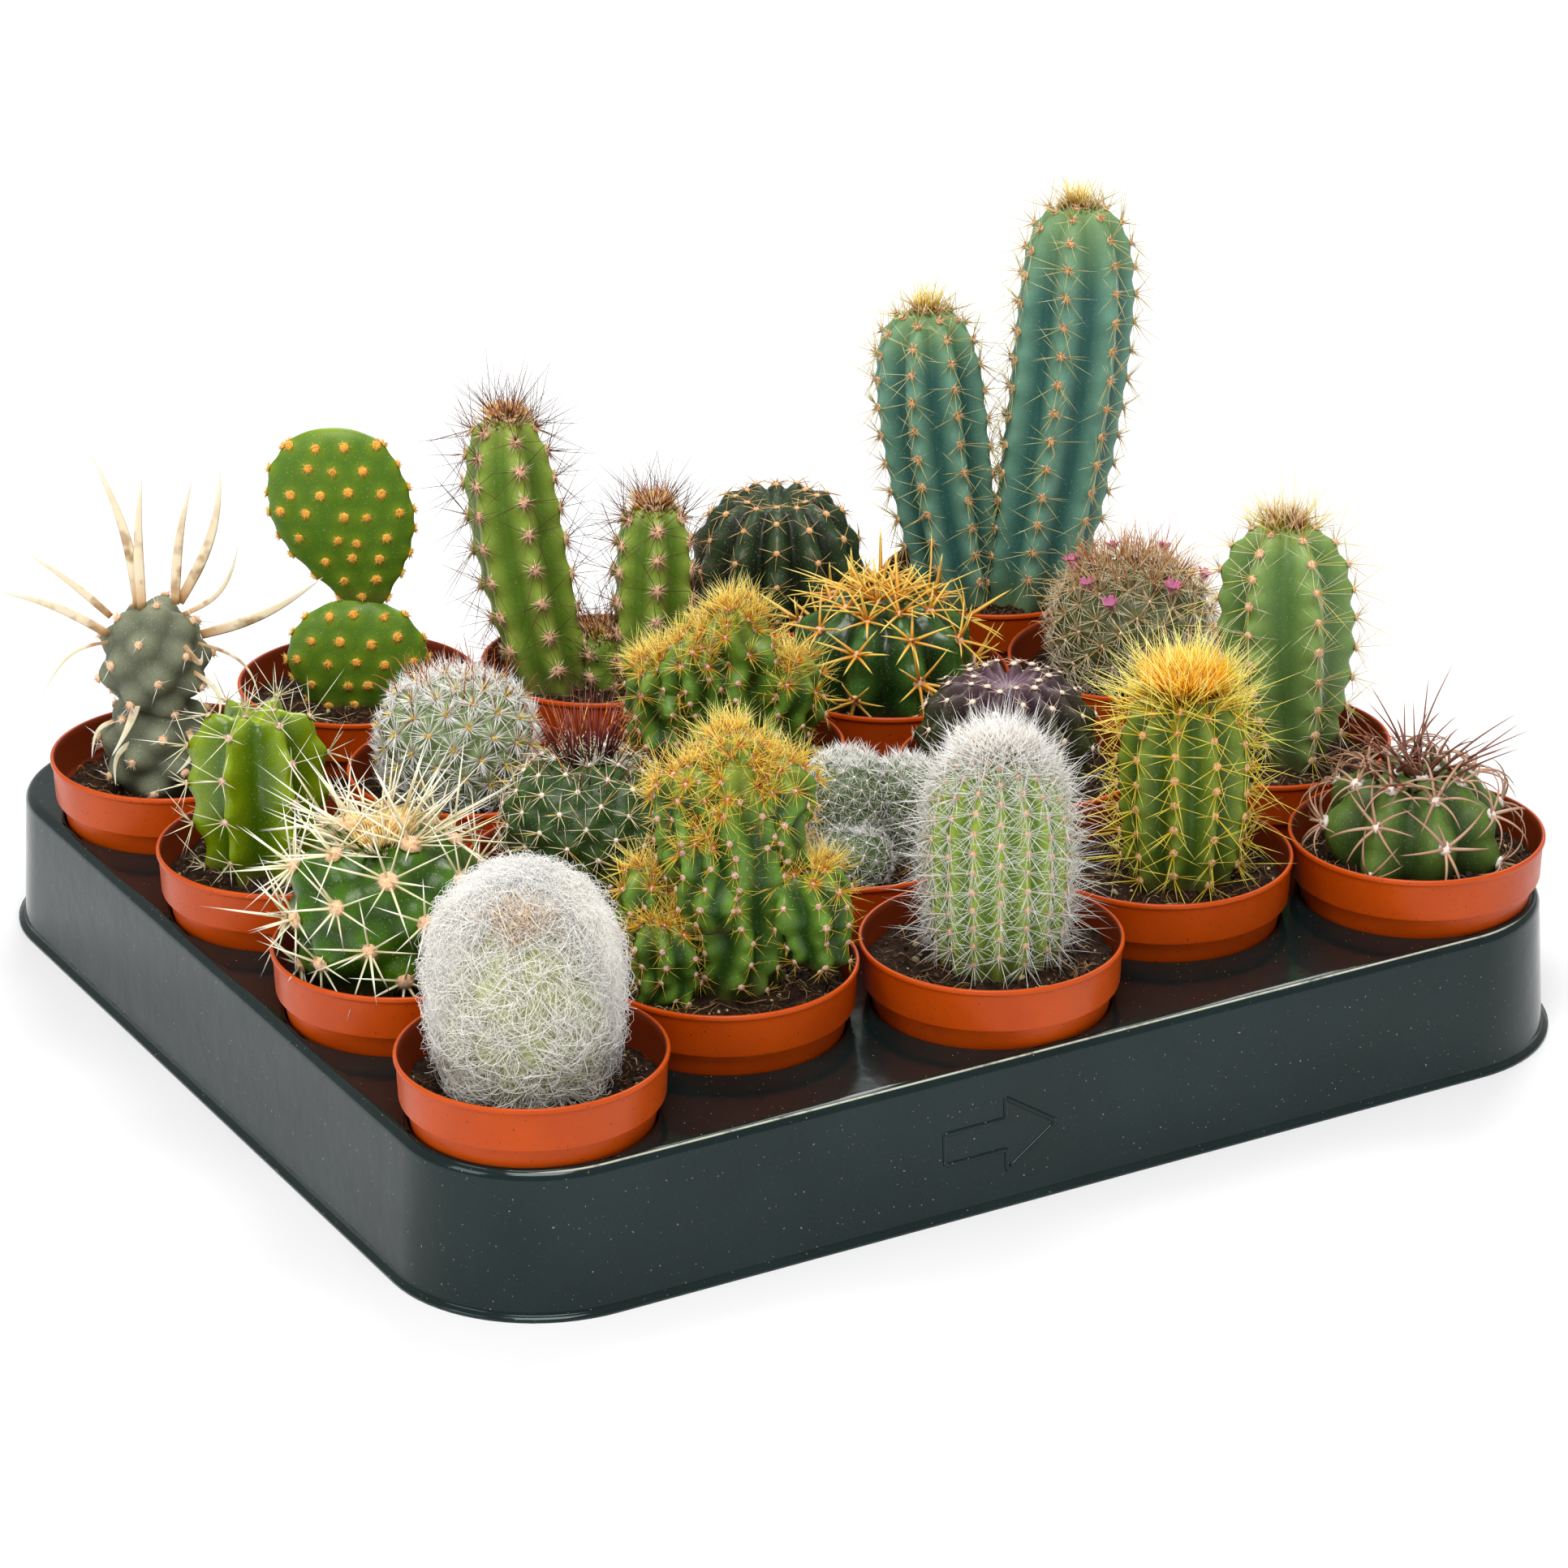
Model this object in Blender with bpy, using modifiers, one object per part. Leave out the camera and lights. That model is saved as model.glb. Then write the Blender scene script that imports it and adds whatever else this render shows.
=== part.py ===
"""Twenty small potted cacti in a moulded carry tray.

Metres, +Z up.  The origin is on the floor under the middle of the tray, +X runs
along the tray's long side.  One thin black tray has a cup for each pot; each pot
is a turned plastic pot with its own potting mix and its own plant standing in it.
"""

import math
from dataclasses import dataclass

import bmesh
import bpy
from mathutils import Matrix

MM = 0.001

# ---------------------------------------------------------------- driving sizes
COLUMNS = 5
ROWS = 4

POT_RIM_RADIUS = 27.5 * MM
POT_BASE_RADIUS = 19.5 * MM
POT_HEIGHT = 44.5 * MM
POT_WALL = 0.8 * MM
COLLAR_HEIGHT = 9.6 * MM
COLLAR_FLARE = 0.8 * MM       # how much the collar widens up to the rim
COLLAR_STEP = 1.4 * MM        # how far the collar stands out from the body
DRAIN_RADIUS = 4.0 * MM

SHEET = 0.8 * MM              # thickness of the tray's sheet
CUP_CLEARANCE = 0.5 * MM      # all round a pot, inside its cup
SEAT_GAP = 0.3 * MM           # between pieces that rest on one another
RIM_GAP = 0.9 * MM            # between the rims of neighbouring pots
ROW_GAP = 2.7 * MM            # between the rims of pots in one column
STAGGER_ANGLE = math.radians(17.9)
BODY_SHOWS = 4.5 * MM         # pot body seen between the collar and the deck
DECK_MARGIN = 0.3 * MM        # deck edge beyond the outermost rims
CORNER_EASE = 2.5 * MM        # corner radius beyond the rim radius
SKIRT_DRAFT = 1.6 * MM        # how far the skirt leans out to its foot
FLANGE_WIDTH = 1.5 * MM
EDGE_ROUND = 2.2 * MM

TURN_STEPS = 16
CORNER_STEPS = 6
EDGE_STEPS = 2
MERGE = 0.00001

# ---------------------------------------------------------------- derived sizes
SPACING = 2 * POT_RIM_RADIUS + RIM_GAP
PITCH_X = SPACING * math.cos(STAGGER_ANGLE)
STAGGER = SPACING * math.sin(STAGGER_ANGLE)
PITCH_Y = 2 * POT_RIM_RADIUS + ROW_GAP
GRID_HALF_X = PITCH_X * (COLUMNS - 1) / 2
GRID_HALF_Y = (PITCH_Y * (ROWS - 1) + STAGGER) / 2

POT_SEAT = SHEET + SEAT_GAP
RIM_Z = POT_SEAT + POT_HEIGHT
COLLAR_Z = RIM_Z - COLLAR_HEIGHT
DECK_Z = COLLAR_Z - BODY_SHOWS
COLLAR_RADIUS = POT_RIM_RADIUS - COLLAR_FLARE
BODY_TOP_RADIUS = COLLAR_RADIUS - COLLAR_STEP
BODY_SLOPE = (BODY_TOP_RADIUS - POT_BASE_RADIUS) / (POT_HEIGHT - COLLAR_HEIGHT)
BORE_BASE_Z = POT_SEAT + POT_WALL

DECK_HALF_X = GRID_HALF_X + POT_RIM_RADIUS + DECK_MARGIN
DECK_HALF_Y = GRID_HALF_Y + POT_RIM_RADIUS + DECK_MARGIN
CORNER_RADIUS = POT_RIM_RADIUS + CORNER_EASE

# The plants' tables below are drawn for pots of this rim radius and grow with the pot.
GROWN_FOR_RADIUS = 27.5 * MM
GROWTH = MM * POT_RIM_RADIUS / GROWN_FOR_RADIUS
# Heads of one plant spread along this direction, seen from the tray's front corner.
SPREAD_ANGLE = math.radians(-29.2)

# ---------------------------------------------------------------- colours
POT_COLOUR = (0.58, 0.09, 0.02)
TRAY_COLOUR = (0.02, 0.025, 0.027)
SOIL_COLOUR = (0.05, 0.028, 0.015)


@dataclass
class Head:
    """One stem, globe or pad of a plant; millimetres, heights above the pot's rim.

    side: place along the spread direction; lean: how much further it is at the top.
    foot: radius where it stands; foot_z: height there, or None for the soil.
    squareness: 2 is a round dome, more is a blunter one.
    thin: thickness over width, below 1 for a flat pad.
    """

    side: float
    radius: float
    foot: float
    widest: float
    top: float
    lean: float = 0.0
    fore: float = 0.0
    foot_z: float | None = None
    squareness: float = 2.2
    ribs: int = 0
    rib_depth: float = 0.0
    thin: float = 1.0


@dataclass
class Plant:
    """A plant, the pot that it stands in, its soil's depth below the rim and its heads."""

    name: str
    column: int
    row: int
    soil_drop: float
    colour: tuple
    heads: list


PLANTS = [
    Plant("old_man", 0, 0, 6.5, (0.75, 0.74, 0.68), [
        Head(-1.0, 20.0, 15.5, 12.4, 39.6)]),
    Plant("golden_monstrose_front", 1, 0, 6.0, (0.20, 0.28, 0.06), [
        Head(0.5, 13.5, 12.0, 20.4, 47.0),
        Head(-17.0, 6.5, 3.0, 20.4, 27.0, foot_z=14.0),
        Head(-11.8, 9.0, 6.0, 4.0, 13.5),
        Head(17.6, 10.6, 4.0, 11.4, 22.0, foot_z=1.0),
        Head(-9.5, 8.0, 4.0, 35.4, 43.5, foot_z=26.0),
        Head(12.5, 8.0, 4.0, 42.4, 49.5, foot_z=30.0)]),
    Plant("silver_torch", 2, 0, 5.0, (0.50, 0.56, 0.36), [
        Head(1.2, 14.5, 12.5, 20.0, 43.0, squareness=2.8)]),
    Plant("yellow_needle", 3, 0, 5.0, (0.16, 0.25, 0.05), [
        Head(4.0, 14.0, 11.5, 22.0, 37.0, squareness=2.6)]),
    Plant("chin", 4, 0, 6.0, (0.09, 0.17, 0.05), [
        Head(-1.0, 18.5, 16.0, -2.0, 12.6, ribs=8, rib_depth=0.12)]),
    Plant("golden_barrel", 0, 1, 6.5, (0.08, 0.16, 0.05), [
        Head(-3.5, 19.5, 13.0, 10.0, 27.5)]),
    Plant("red_crown", 1, 1, 5.5, (0.15, 0.20, 0.10), [
        Head(-1.0, 18.0, 14.0, 7.5, 24.6)]),
    Plant("powder_puff", 2, 1, 5.0, (0.62, 0.64, 0.56), [
        Head(-1.0, 10.0, 7.5, 9.0, 19.6),
        Head(11.5, 6.8, 4.0, 11.0, 17.5),
        Head(1.0, 7.5, 5.0, -0.5, 6.5, fore=11.0),
        Head(-11.5, 6.5, 4.0, 5.0, 11.0)]),
    Plant("purple_globe", 3, 1, 5.5, (0.10, 0.09, 0.07), [
        Head(-3.3, 19.4, 15.0, 4.4, 20.4)]),
    Plant("apple_column", 4, 1, 5.5, (0.16, 0.28, 0.05), [
        Head(6.2, 14.4, 7.0, 27.5, 50.5, lean=-3.2, squareness=2.6, ribs=6, rib_depth=0.22)]),
    Plant("lime_column", 0, 2, 6.0, (0.22, 0.42, 0.03), [
        Head(-5.0, 14.2, 10.0, 16.5, 29.5, ribs=7, rib_depth=0.18)]),
    Plant("snowball", 1, 2, 5.5, (0.60, 0.60, 0.50), [
        Head(-3.0, 16.5, 12.0, 6.5, 19.5)]),
    Plant("golden_monstrose_back", 2, 2, 5.5, (0.20, 0.28, 0.06), [
        Head(2.0, 12.5, 9.5, 15.0, 32.5),
        Head(-12.5, 8.6, 4.0, 12.5, 21.0),
        Head(14.0, 7.8, 4.0, 12.0, 20.0)]),
    Plant("amber_barrel", 3, 2, 5.5, (0.10, 0.17, 0.04), [
        Head(-1.5, 20.5, 16.0, 4.5, 18.5, ribs=8, rib_depth=0.12)]),
    Plant("pink_crown", 4, 2, 5.5, (0.35, 0.32, 0.22), [
        Head(1.0, 19.0, 14.5, 6.5, 23.5)]),
    Plant("paper_spine", 0, 3, 8.0, (0.12, 0.17, 0.11), [
        Head(-3.6, 11.0, 7.5, 1.0, 11.5),
        Head(-3.4, 11.3, 4.5, 21.0, 35.6, foot_z=8.5)]),
    Plant("bunny_ear", 1, 3, 6.0, (0.18, 0.35, 0.04), [
        Head(0.0, 15.2, 7.0, 5.5, 18.5, thin=0.36),
        Head(1.0, 17.0, 5.0, 39.0, 60.9, lean=-4.8, foot_z=14.5, thin=0.29)]),
    Plant("twin_green_column", 2, 3, 6.0, (0.13, 0.25, 0.04), [
        Head(-10.7, 11.0, 8.5, 30.0, 57.5, lean=-9.6, squareness=2.6, ribs=6, rib_depth=0.18),
        Head(10.8, 8.6, 6.5, 18.0, 35.5, lean=2.0, squareness=2.6, ribs=6, rib_depth=0.18),
        Head(0.5, 8.5, 7.5, -4.0, -1.0)]),
    Plant("dark_globe", 3, 3, 5.5, (0.09, 0.16, 0.05), [
        Head(2.6, 21.0, 16.0, 4.0, 25.0)]),
    Plant("blue_column", 4, 3, 5.5, (0.12, 0.27, 0.20), [
        Head(8.0, 15.3, 9.0, 50.0, 93.2, lean=10.2, squareness=2.6, ribs=7, rib_depth=0.14),
        Head(-8.0, 13.5, 8.5, 40.0, 65.4, lean=-8.8, squareness=2.6, ribs=7, rib_depth=0.14)]),
]
# This plant's roots fill its pot, so its potting mix is part of the same piece.
ROOT_BOUND = "powder_puff"


# ---------------------------------------------------------------- small helpers
def clear_scene():
    """Removes every object that the scene starts with."""
    for item in list(bpy.data.objects):
        bpy.data.objects.remove(item, do_unlink=True)


def new_collection(name, hidden=False):
    """Makes a collection and links it to the scene."""
    group = bpy.data.collections.new(name)
    group.hide_render = hidden
    bpy.context.scene.collection.children.link(group)
    return group


def new_material(name, colour, roughness):
    """A plain Principled material."""
    made = bpy.data.materials.new(name)
    made.use_nodes = True
    shader = made.node_tree.nodes["Principled BSDF"]
    shader.inputs["Base Color"].default_value = (*colour, 1.0)
    shader.inputs["Roughness"].default_value = roughness
    shader.inputs["Metallic"].default_value = 0.0
    return made


def add_object(name, mesh, group, material):
    """Links a mesh into a collection as an object with its own material."""
    made = bpy.data.objects.new(name, mesh)
    group.objects.link(made)
    if not mesh.materials:
        mesh.materials.append(material)
    made.material_slots[0].link = "OBJECT"
    made.material_slots[0].material = material
    return made


def mesh_from(bm, name):
    """Writes a bmesh to a new smooth mesh and frees it."""
    bmesh.ops.recalc_face_normals(bm, faces=bm.faces)
    mesh = bpy.data.meshes.new(name)
    bm.to_mesh(mesh)
    bm.free()
    return mesh


def profile_mesh(name, points, closed):
    """A profile in the XZ plane, as edges, ready for a Screw modifier."""
    edges = [(i, i + 1) for i in range(len(points) - 1)]
    if closed:
        edges.append((len(points) - 1, 0))
    mesh = bpy.data.meshes.new(name)
    mesh.from_pydata([(r, 0.0, z) for r, z in points], edges, [])
    return mesh


def add_turn(item):
    """Turns an object's profile about its Z axis."""
    turn = item.modifiers.new("turn", "SCREW")
    turn.axis = "Z"
    turn.steps = TURN_STEPS
    turn.render_steps = TURN_STEPS
    turn.use_merge_vertices = True
    turn.merge_threshold = MERGE
    turn.use_smooth_shade = True
    return turn


def evaluated_mesh(item):
    """The mesh of an object with its modifiers applied."""
    graph = bpy.context.evaluated_depsgraph_get()
    return bpy.data.meshes.new_from_object(item.evaluated_get(graph))


def turned_copies(name, points, centres, group, material):
    """One object that holds a turned copy of a profile at each centre."""
    single = add_object(name + "_profile", profile_mesh(name, points, False), group, material)
    add_turn(single)
    turned = evaluated_mesh(single)
    bpy.data.objects.remove(single, do_unlink=True)
    bm = bmesh.new()
    for x, y in centres:
        start = len(bm.verts)
        bm.from_mesh(turned)
        bm.verts.ensure_lookup_table()
        bmesh.ops.translate(bm, verts=bm.verts[start:], vec=(x, y, 0.0))
    mesh = bpy.data.meshes.new(name)
    bm.to_mesh(mesh)
    bm.free()
    made = add_object(name, mesh, group, material)
    made.display_type = "WIRE"
    made.hide_render = True
    return made


def add_boolean(item, operation, other):
    """A Boolean modifier with the exact solver."""
    step = item.modifiers.new(operation.lower(), "BOOLEAN")
    step.operation = operation
    step.object = other
    step.solver = "EXACT"
    return step


def pot_centre(column, row):
    """Where a pot stands; every second column is pushed back by the stagger."""
    x = column * PITCH_X - GRID_HALF_X
    y = row * PITCH_Y - GRID_HALF_Y
    if column % 2:
        y += STAGGER
    return x, y


def body_radius(z):
    """Outer radius of a pot's body at a height."""
    return POT_BASE_RADIUS + BODY_SLOPE * (z - POT_SEAT)


# ---------------------------------------------------------------- tray
def skirt_shell(group, material):
    """The tray's deck and skirt as a thin sheet with a flange at its foot."""
    bm = bmesh.new()
    bmesh.ops.create_cube(bm, size=2.0)
    for vert in bm.verts:
        out = SKIRT_DRAFT if vert.co.z < 0 else 0.0
        vert.co.x = math.copysign(DECK_HALF_X + out, vert.co.x)
        vert.co.y = math.copysign(DECK_HALF_Y + out, vert.co.y)
        vert.co.z = SHEET if vert.co.z < 0 else DECK_Z
    corners = [e for e in bm.edges if abs(e.verts[0].co.z - e.verts[1].co.z) > SHEET]
    bmesh.ops.bevel(bm, geom=corners, offset=CORNER_RADIUS, segments=CORNER_STEPS,
                    profile=0.5, affect="EDGES")
    crown = [e for e in bm.edges if min(v.co.z for v in e.verts) > DECK_Z - MERGE]
    bmesh.ops.bevel(bm, geom=crown, offset=EDGE_ROUND, segments=EDGE_STEPS,
                    profile=0.5, affect="EDGES")
    floor = [f for f in bm.faces if f.normal.z < -0.9]
    bmesh.ops.delete(bm, geom=floor, context="FACES_ONLY")
    foot = [e for e in bm.edges if e.is_boundary]
    spread = bmesh.ops.extrude_edge_only(bm, edges=foot)
    foot_x = DECK_HALF_X + SKIRT_DRAFT
    foot_y = DECK_HALF_Y + SKIRT_DRAFT
    for vert in [v for v in spread["geom"] if isinstance(v, bmesh.types.BMVert)]:
        vert.co.x *= 1 + FLANGE_WIDTH / foot_x
        vert.co.y *= 1 + FLANGE_WIDTH / foot_y
    mesh = mesh_from(bm, "tray")
    made = add_object("tray", mesh, group, material)
    shell = made.modifiers.new("sheet", "SOLIDIFY")
    shell.thickness = SHEET
    shell.offset = -1.0
    shell.use_even_offset = True
    return made


def build_tray(parts, cutters, centres):
    """The carry tray: skirt, deck and one cup for each pot, all one sheet."""
    material = new_material("black_tray", TRAY_COLOUR, 0.25)
    tray = skirt_shell(parts, material)
    cup_top = body_radius(DECK_Z) + CUP_CLEARANCE
    cup_base = POT_BASE_RADIUS + CUP_CLEARANCE
    inside_deck = DECK_Z - SHEET / 2
    over_deck = DECK_Z + SHEET
    walls = [(0.0, inside_deck), (cup_top + SHEET, inside_deck), (cup_base + SHEET, 0.0), (0.0, 0.0)]
    hollow = [(0.0, over_deck), (cup_top, over_deck), (cup_top, DECK_Z), (cup_base, SHEET), (0.0, SHEET)]
    cups = turned_copies("cup_walls", walls, centres, cutters, material)
    bores = turned_copies("cup_hollows", hollow, centres, cutters, material)
    add_boolean(tray, "UNION", cups)
    add_boolean(tray, "DIFFERENCE", bores)
    return tray


# ---------------------------------------------------------------- pots and soil
def pot_profile():
    """Closed outline of a pot's wall: down the outside, in to the drain, up the inside."""
    return [
        (POT_RIM_RADIUS, RIM_Z),
        (COLLAR_RADIUS, COLLAR_Z),
        (BODY_TOP_RADIUS, COLLAR_Z),
        (POT_BASE_RADIUS, POT_SEAT),
        (DRAIN_RADIUS, POT_SEAT),
        (DRAIN_RADIUS, BORE_BASE_Z),
        (POT_BASE_RADIUS - POT_WALL, BORE_BASE_Z),
        (BODY_TOP_RADIUS - POT_WALL, COLLAR_Z),
        (COLLAR_RADIUS - POT_WALL, COLLAR_Z + POT_WALL),
        (POT_RIM_RADIUS - POT_WALL, RIM_Z),
    ]


def build_pots(parts):
    """One pot for each plant, all sharing one profile."""
    shared = profile_mesh("pot_profile", pot_profile(), True)
    for plant in PLANTS:
        material = new_material("terracotta_" + plant.name, POT_COLOUR, 0.35)
        pot = add_object("pot_" + plant.name, shared, parts, material)
        pot.location = (*pot_centre(plant.column, plant.row), 0.0)
        add_turn(pot)


def soil_profile(plant):
    """Outline of the potting mix: it stands on the pot's floor and fills the body's taper."""
    top = RIM_Z - plant.soil_drop * GROWTH
    base = BORE_BASE_Z + SEAT_GAP
    wall = POT_WALL + SEAT_GAP
    return [
        (0.0, top),
        (BODY_TOP_RADIUS - wall, top),
        (POT_BASE_RADIUS - wall, base),
        (0.0, base),
    ]


def build_soils(parts):
    """The potting mix of every pot but the root-bound one."""
    for plant in PLANTS:
        if plant.name == ROOT_BOUND:
            continue
        material = new_material("potting_mix_" + plant.name, SOIL_COLOUR, 0.95)
        mesh = profile_mesh("soil_" + plant.name, soil_profile(plant), False)
        soil = add_object("soil_" + plant.name, mesh, parts, material)
        soil.location = (*pot_centre(plant.column, plant.row), 0.0)
        add_turn(soil)


# ---------------------------------------------------------------- plants
HEAD_RINGS = 6                # rings between the poles of every head
FOOT_RINGS = 2                # of these, how many are below the widest one
PLAIN_SIDES = 14
SMALL_SIDES = 10
SMALL_RADIUS = 9.5            # heads narrower than this take fewer sides


def ring_shape(head, ring, base_z):
    """Height and radius of one ring, counted from the foot, in metres.

    Up to the widest ring the radius follows a quarter sine from the foot; above it
    the outline is a superellipse that closes at the top.
    """
    widest_z = RIM_Z + head.widest * GROWTH
    top_z = RIM_Z + head.top * GROWTH
    radius = head.radius * GROWTH
    foot = head.foot * GROWTH
    if ring <= FOOT_RINGS:
        part = ring / FOOT_RINGS
        swell = math.sin(part * math.pi / 2)
        return base_z + (widest_z - base_z) * part, foot + (radius - foot) * swell
    part = (ring - FOOT_RINGS) / (HEAD_RINGS - FOOT_RINGS)
    angle = part * math.pi / 2
    power = 2 / head.squareness
    height = math.sin(angle) ** power
    width = math.cos(angle) ** power
    return widest_z + (top_z - widest_z) * height, radius * width


def head_mesh(head, soil_z):
    """A head as a UV sphere whose rings are set to its outline, ribs and lean."""
    base_z = soil_z + SEAT_GAP
    if head.foot_z is not None:
        base_z = RIM_Z + head.foot_z * GROWTH
    top_z = RIM_Z + head.top * GROWTH
    plain = SMALL_SIDES if head.radius < SMALL_RADIUS else PLAIN_SIDES
    sides = 2 * head.ribs if head.ribs else plain
    bm = bmesh.new()
    bmesh.ops.create_uvsphere(bm, u_segments=sides, v_segments=HEAD_RINGS + 1, radius=1.0)
    for vert in bm.verts:
        level = 0.5 - math.asin(max(-1.0, min(1.0, -vert.co.z))) / math.pi
        ring = round(level * (HEAD_RINGS + 1)) - 1
        if ring < 0:
            z, radius = base_z, 0.0
        elif ring >= HEAD_RINGS:
            z, radius = top_z, 0.0
        else:
            z, radius = ring_shape(head, ring, base_z)
        angle = math.atan2(vert.co.y, vert.co.x)
        side = round(angle / (2 * math.pi) * sides)
        if head.ribs and side % 2 and ring < HEAD_RINGS:
            radius *= 1 - head.rib_depth
        rise = max(0.0, (z - base_z) / (top_z - base_z))
        shift = (head.side + head.lean * math.sin(rise * math.pi / 2)) * GROWTH
        x = radius * math.cos(angle) + shift
        y = radius * math.sin(angle) * head.thin - head.fore * GROWTH
        vert.co = (x, y, z)
    bmesh.ops.rotate(bm, verts=bm.verts, cent=(0, 0, 0),
                     matrix=Matrix.Rotation(SPREAD_ANGLE, 3, "Z"))
    return mesh_from(bm, "head")


def build_plant(plant, parts, cutters):
    """A plant: its heads grown together, and its root ball where it has one."""
    material = new_material(plant.name + "_green", plant.colour, 0.5)
    soil_z = RIM_Z - plant.soil_drop * GROWTH
    meshes = [head_mesh(head, soil_z) for head in plant.heads]
    body = add_object(plant.name + "_cactus", meshes[0], parts, material)
    body.location = (*pot_centre(plant.column, plant.row), 0.0)
    joined = []
    for number, mesh in enumerate(meshes[1:]):
        joined.append(add_object(f"{plant.name}_head_{number}", mesh, cutters, material))
    if plant.name == ROOT_BOUND:
        ball = profile_mesh("root_ball", root_ball_profile(plant), False)
        joined.append(add_object("root_ball", ball, cutters, material))
        add_turn(joined[-1])
    for other in joined:
        other.location = body.location
        other.display_type = "WIRE"
        other.hide_render = True
        add_boolean(body, "UNION", other)
    body.data.shade_smooth()


def root_ball_profile(plant):
    """The potting mix of the root-bound plant, raised to take in the plant's foot."""
    outline = soil_profile(plant)
    raised = 2 * SEAT_GAP
    return [(r, z + raised) if number < 2 else (r, z) for number, (r, z) in enumerate(outline)]


def main():
    """Builds the tray, the pots, the potting mix and the plants."""
    clear_scene()
    parts = new_collection("potted_mixed_cacti")
    cutters = new_collection("cutters", hidden=True)
    centres = [pot_centre(plant.column, plant.row) for plant in PLANTS]
    build_tray(parts, cutters, centres)
    build_pots(parts)
    build_soils(parts)
    for plant in PLANTS:
        build_plant(plant, parts, cutters)


main()
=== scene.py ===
"""Looks for twenty small potted cacti in a moulded carry tray.

Everything is in metres in the frame's own axes, +Z up.  Sizes in the tables are in
millimetres; heights are above the pots' rims, and sideways places are from the
middle of the pot along the direction in which the heads of one plant spread.
"""

import logging
import math
from dataclasses import dataclass
from enum import Enum

import bmesh
import bpy
import numpy as np
from bpy.types import Material, Mesh, Node, NodeSocket, NodeTree, Object
from mathutils import Matrix, Vector
from mathutils.geometry import delaunay_2d_cdt
from numpy.random import Generator


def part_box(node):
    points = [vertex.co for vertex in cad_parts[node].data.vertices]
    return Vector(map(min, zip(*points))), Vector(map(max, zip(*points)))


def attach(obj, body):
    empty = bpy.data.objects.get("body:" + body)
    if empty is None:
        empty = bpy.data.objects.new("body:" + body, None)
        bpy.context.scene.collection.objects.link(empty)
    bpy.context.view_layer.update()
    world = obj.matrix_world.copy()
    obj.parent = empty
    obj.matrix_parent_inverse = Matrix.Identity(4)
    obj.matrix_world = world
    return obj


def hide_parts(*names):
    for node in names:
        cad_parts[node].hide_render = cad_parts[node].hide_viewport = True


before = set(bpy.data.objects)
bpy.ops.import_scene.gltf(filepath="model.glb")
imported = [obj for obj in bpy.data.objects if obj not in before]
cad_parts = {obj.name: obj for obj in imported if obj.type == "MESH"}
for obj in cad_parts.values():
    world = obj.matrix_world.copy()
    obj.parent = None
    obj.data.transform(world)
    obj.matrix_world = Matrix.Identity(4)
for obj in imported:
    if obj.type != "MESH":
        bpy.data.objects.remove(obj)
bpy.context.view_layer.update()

LOG = logging.getLogger("cacti")
MM = 0.001
TURN = 2 * math.pi
GOLDEN_ANGLE = math.pi * (3.0 - math.sqrt(5.0))
SPREAD_ANGLE = math.radians(-29.2)
SINK = 1.5 * MM               # how deep a plant's foot stands in its potting mix


# ------------------------------------------------------------------ colour and nodes
def linear(code: str) -> tuple[float, float, float, float]:
    """Turns an sRGB hex colour to linear.

    Args:
        code: six hex digits.

    Returns:
        Red, green, blue and an alpha of one.
    """
    parts = [int(code[i:i + 2], 16) / 255 for i in (0, 2, 4)]
    curve = [c / 12.92 if c <= 0.04045 else ((c + 0.055) / 1.055) ** 2.4 for c in parts]
    return (*curve, 1.0)


def add(tree: NodeTree, kind: str, settings: dict | None = None,
        links: dict | None = None) -> Node:
    """Adds one node.

    Args:
        tree: the material's or world's node tree.
        kind: the node's type name without the leading "ShaderNode".
        settings: attributes of the node, or values of its inputs by name or number.
        links: for an input's name or number, the output socket that feeds it.

    Returns:
        The new node.
    """
    node = tree.nodes.new("ShaderNode" + kind)
    for key, value in (settings or {}).items():
        if isinstance(key, str) and hasattr(node, key):
            setattr(node, key, value)
        else:
            node.inputs[key].default_value = value
    for key, socket in (links or {}).items():
        tree.links.new(socket, node.inputs[key])
    return node


def attribute(tree: NodeTree, name: str) -> NodeSocket:
    """The value of one of the mesh's own attributes."""
    return add(tree, "Attribute", {"attribute_name": name}).outputs["Fac"]


def start_material(name: str) -> tuple[Material, NodeTree, Node]:
    """A new material with nothing but its Principled shader and output.

    Args:
        name: the material's name.

    Returns:
        The material, its tree and its Principled node.
    """
    material = bpy.data.materials.new(name)
    material.use_nodes = True
    tree = material.node_tree
    return material, tree, tree.nodes["Principled BSDF"]


def settle(tree: NodeTree, shader: Node, colour: NodeSocket, values: dict) -> None:
    """Gives a shader its base colour and sets constants on its own sockets.

    Args:
        tree: the node tree.
        shader: the Principled node.
        colour: the base colour's socket.
        values: constants by socket name.
    """
    tree.links.new(colour, shader.inputs["Base Color"])
    for socket, value in values.items():
        shader.inputs[socket].default_value = value


def blend_colour(tree: NodeTree, factor, first, second, mode: str = "MIX"):
    """Mixes two colours.

    Args:
        tree: the node tree.
        factor: a socket or a number.
        first: a socket or a colour.
        second: a socket or a colour.
        mode: the blend mode.

    Returns:
        The mixed colour's socket.
    """
    node = add(tree, "Mix", {"data_type": "RGBA", "blend_type": mode})
    for number, value in ((0, factor), (6, first), (7, second)):
        if isinstance(value, NodeSocket):
            tree.links.new(value, node.inputs[number])
        else:
            node.inputs[number].default_value = value
    return node.outputs[2]


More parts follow.
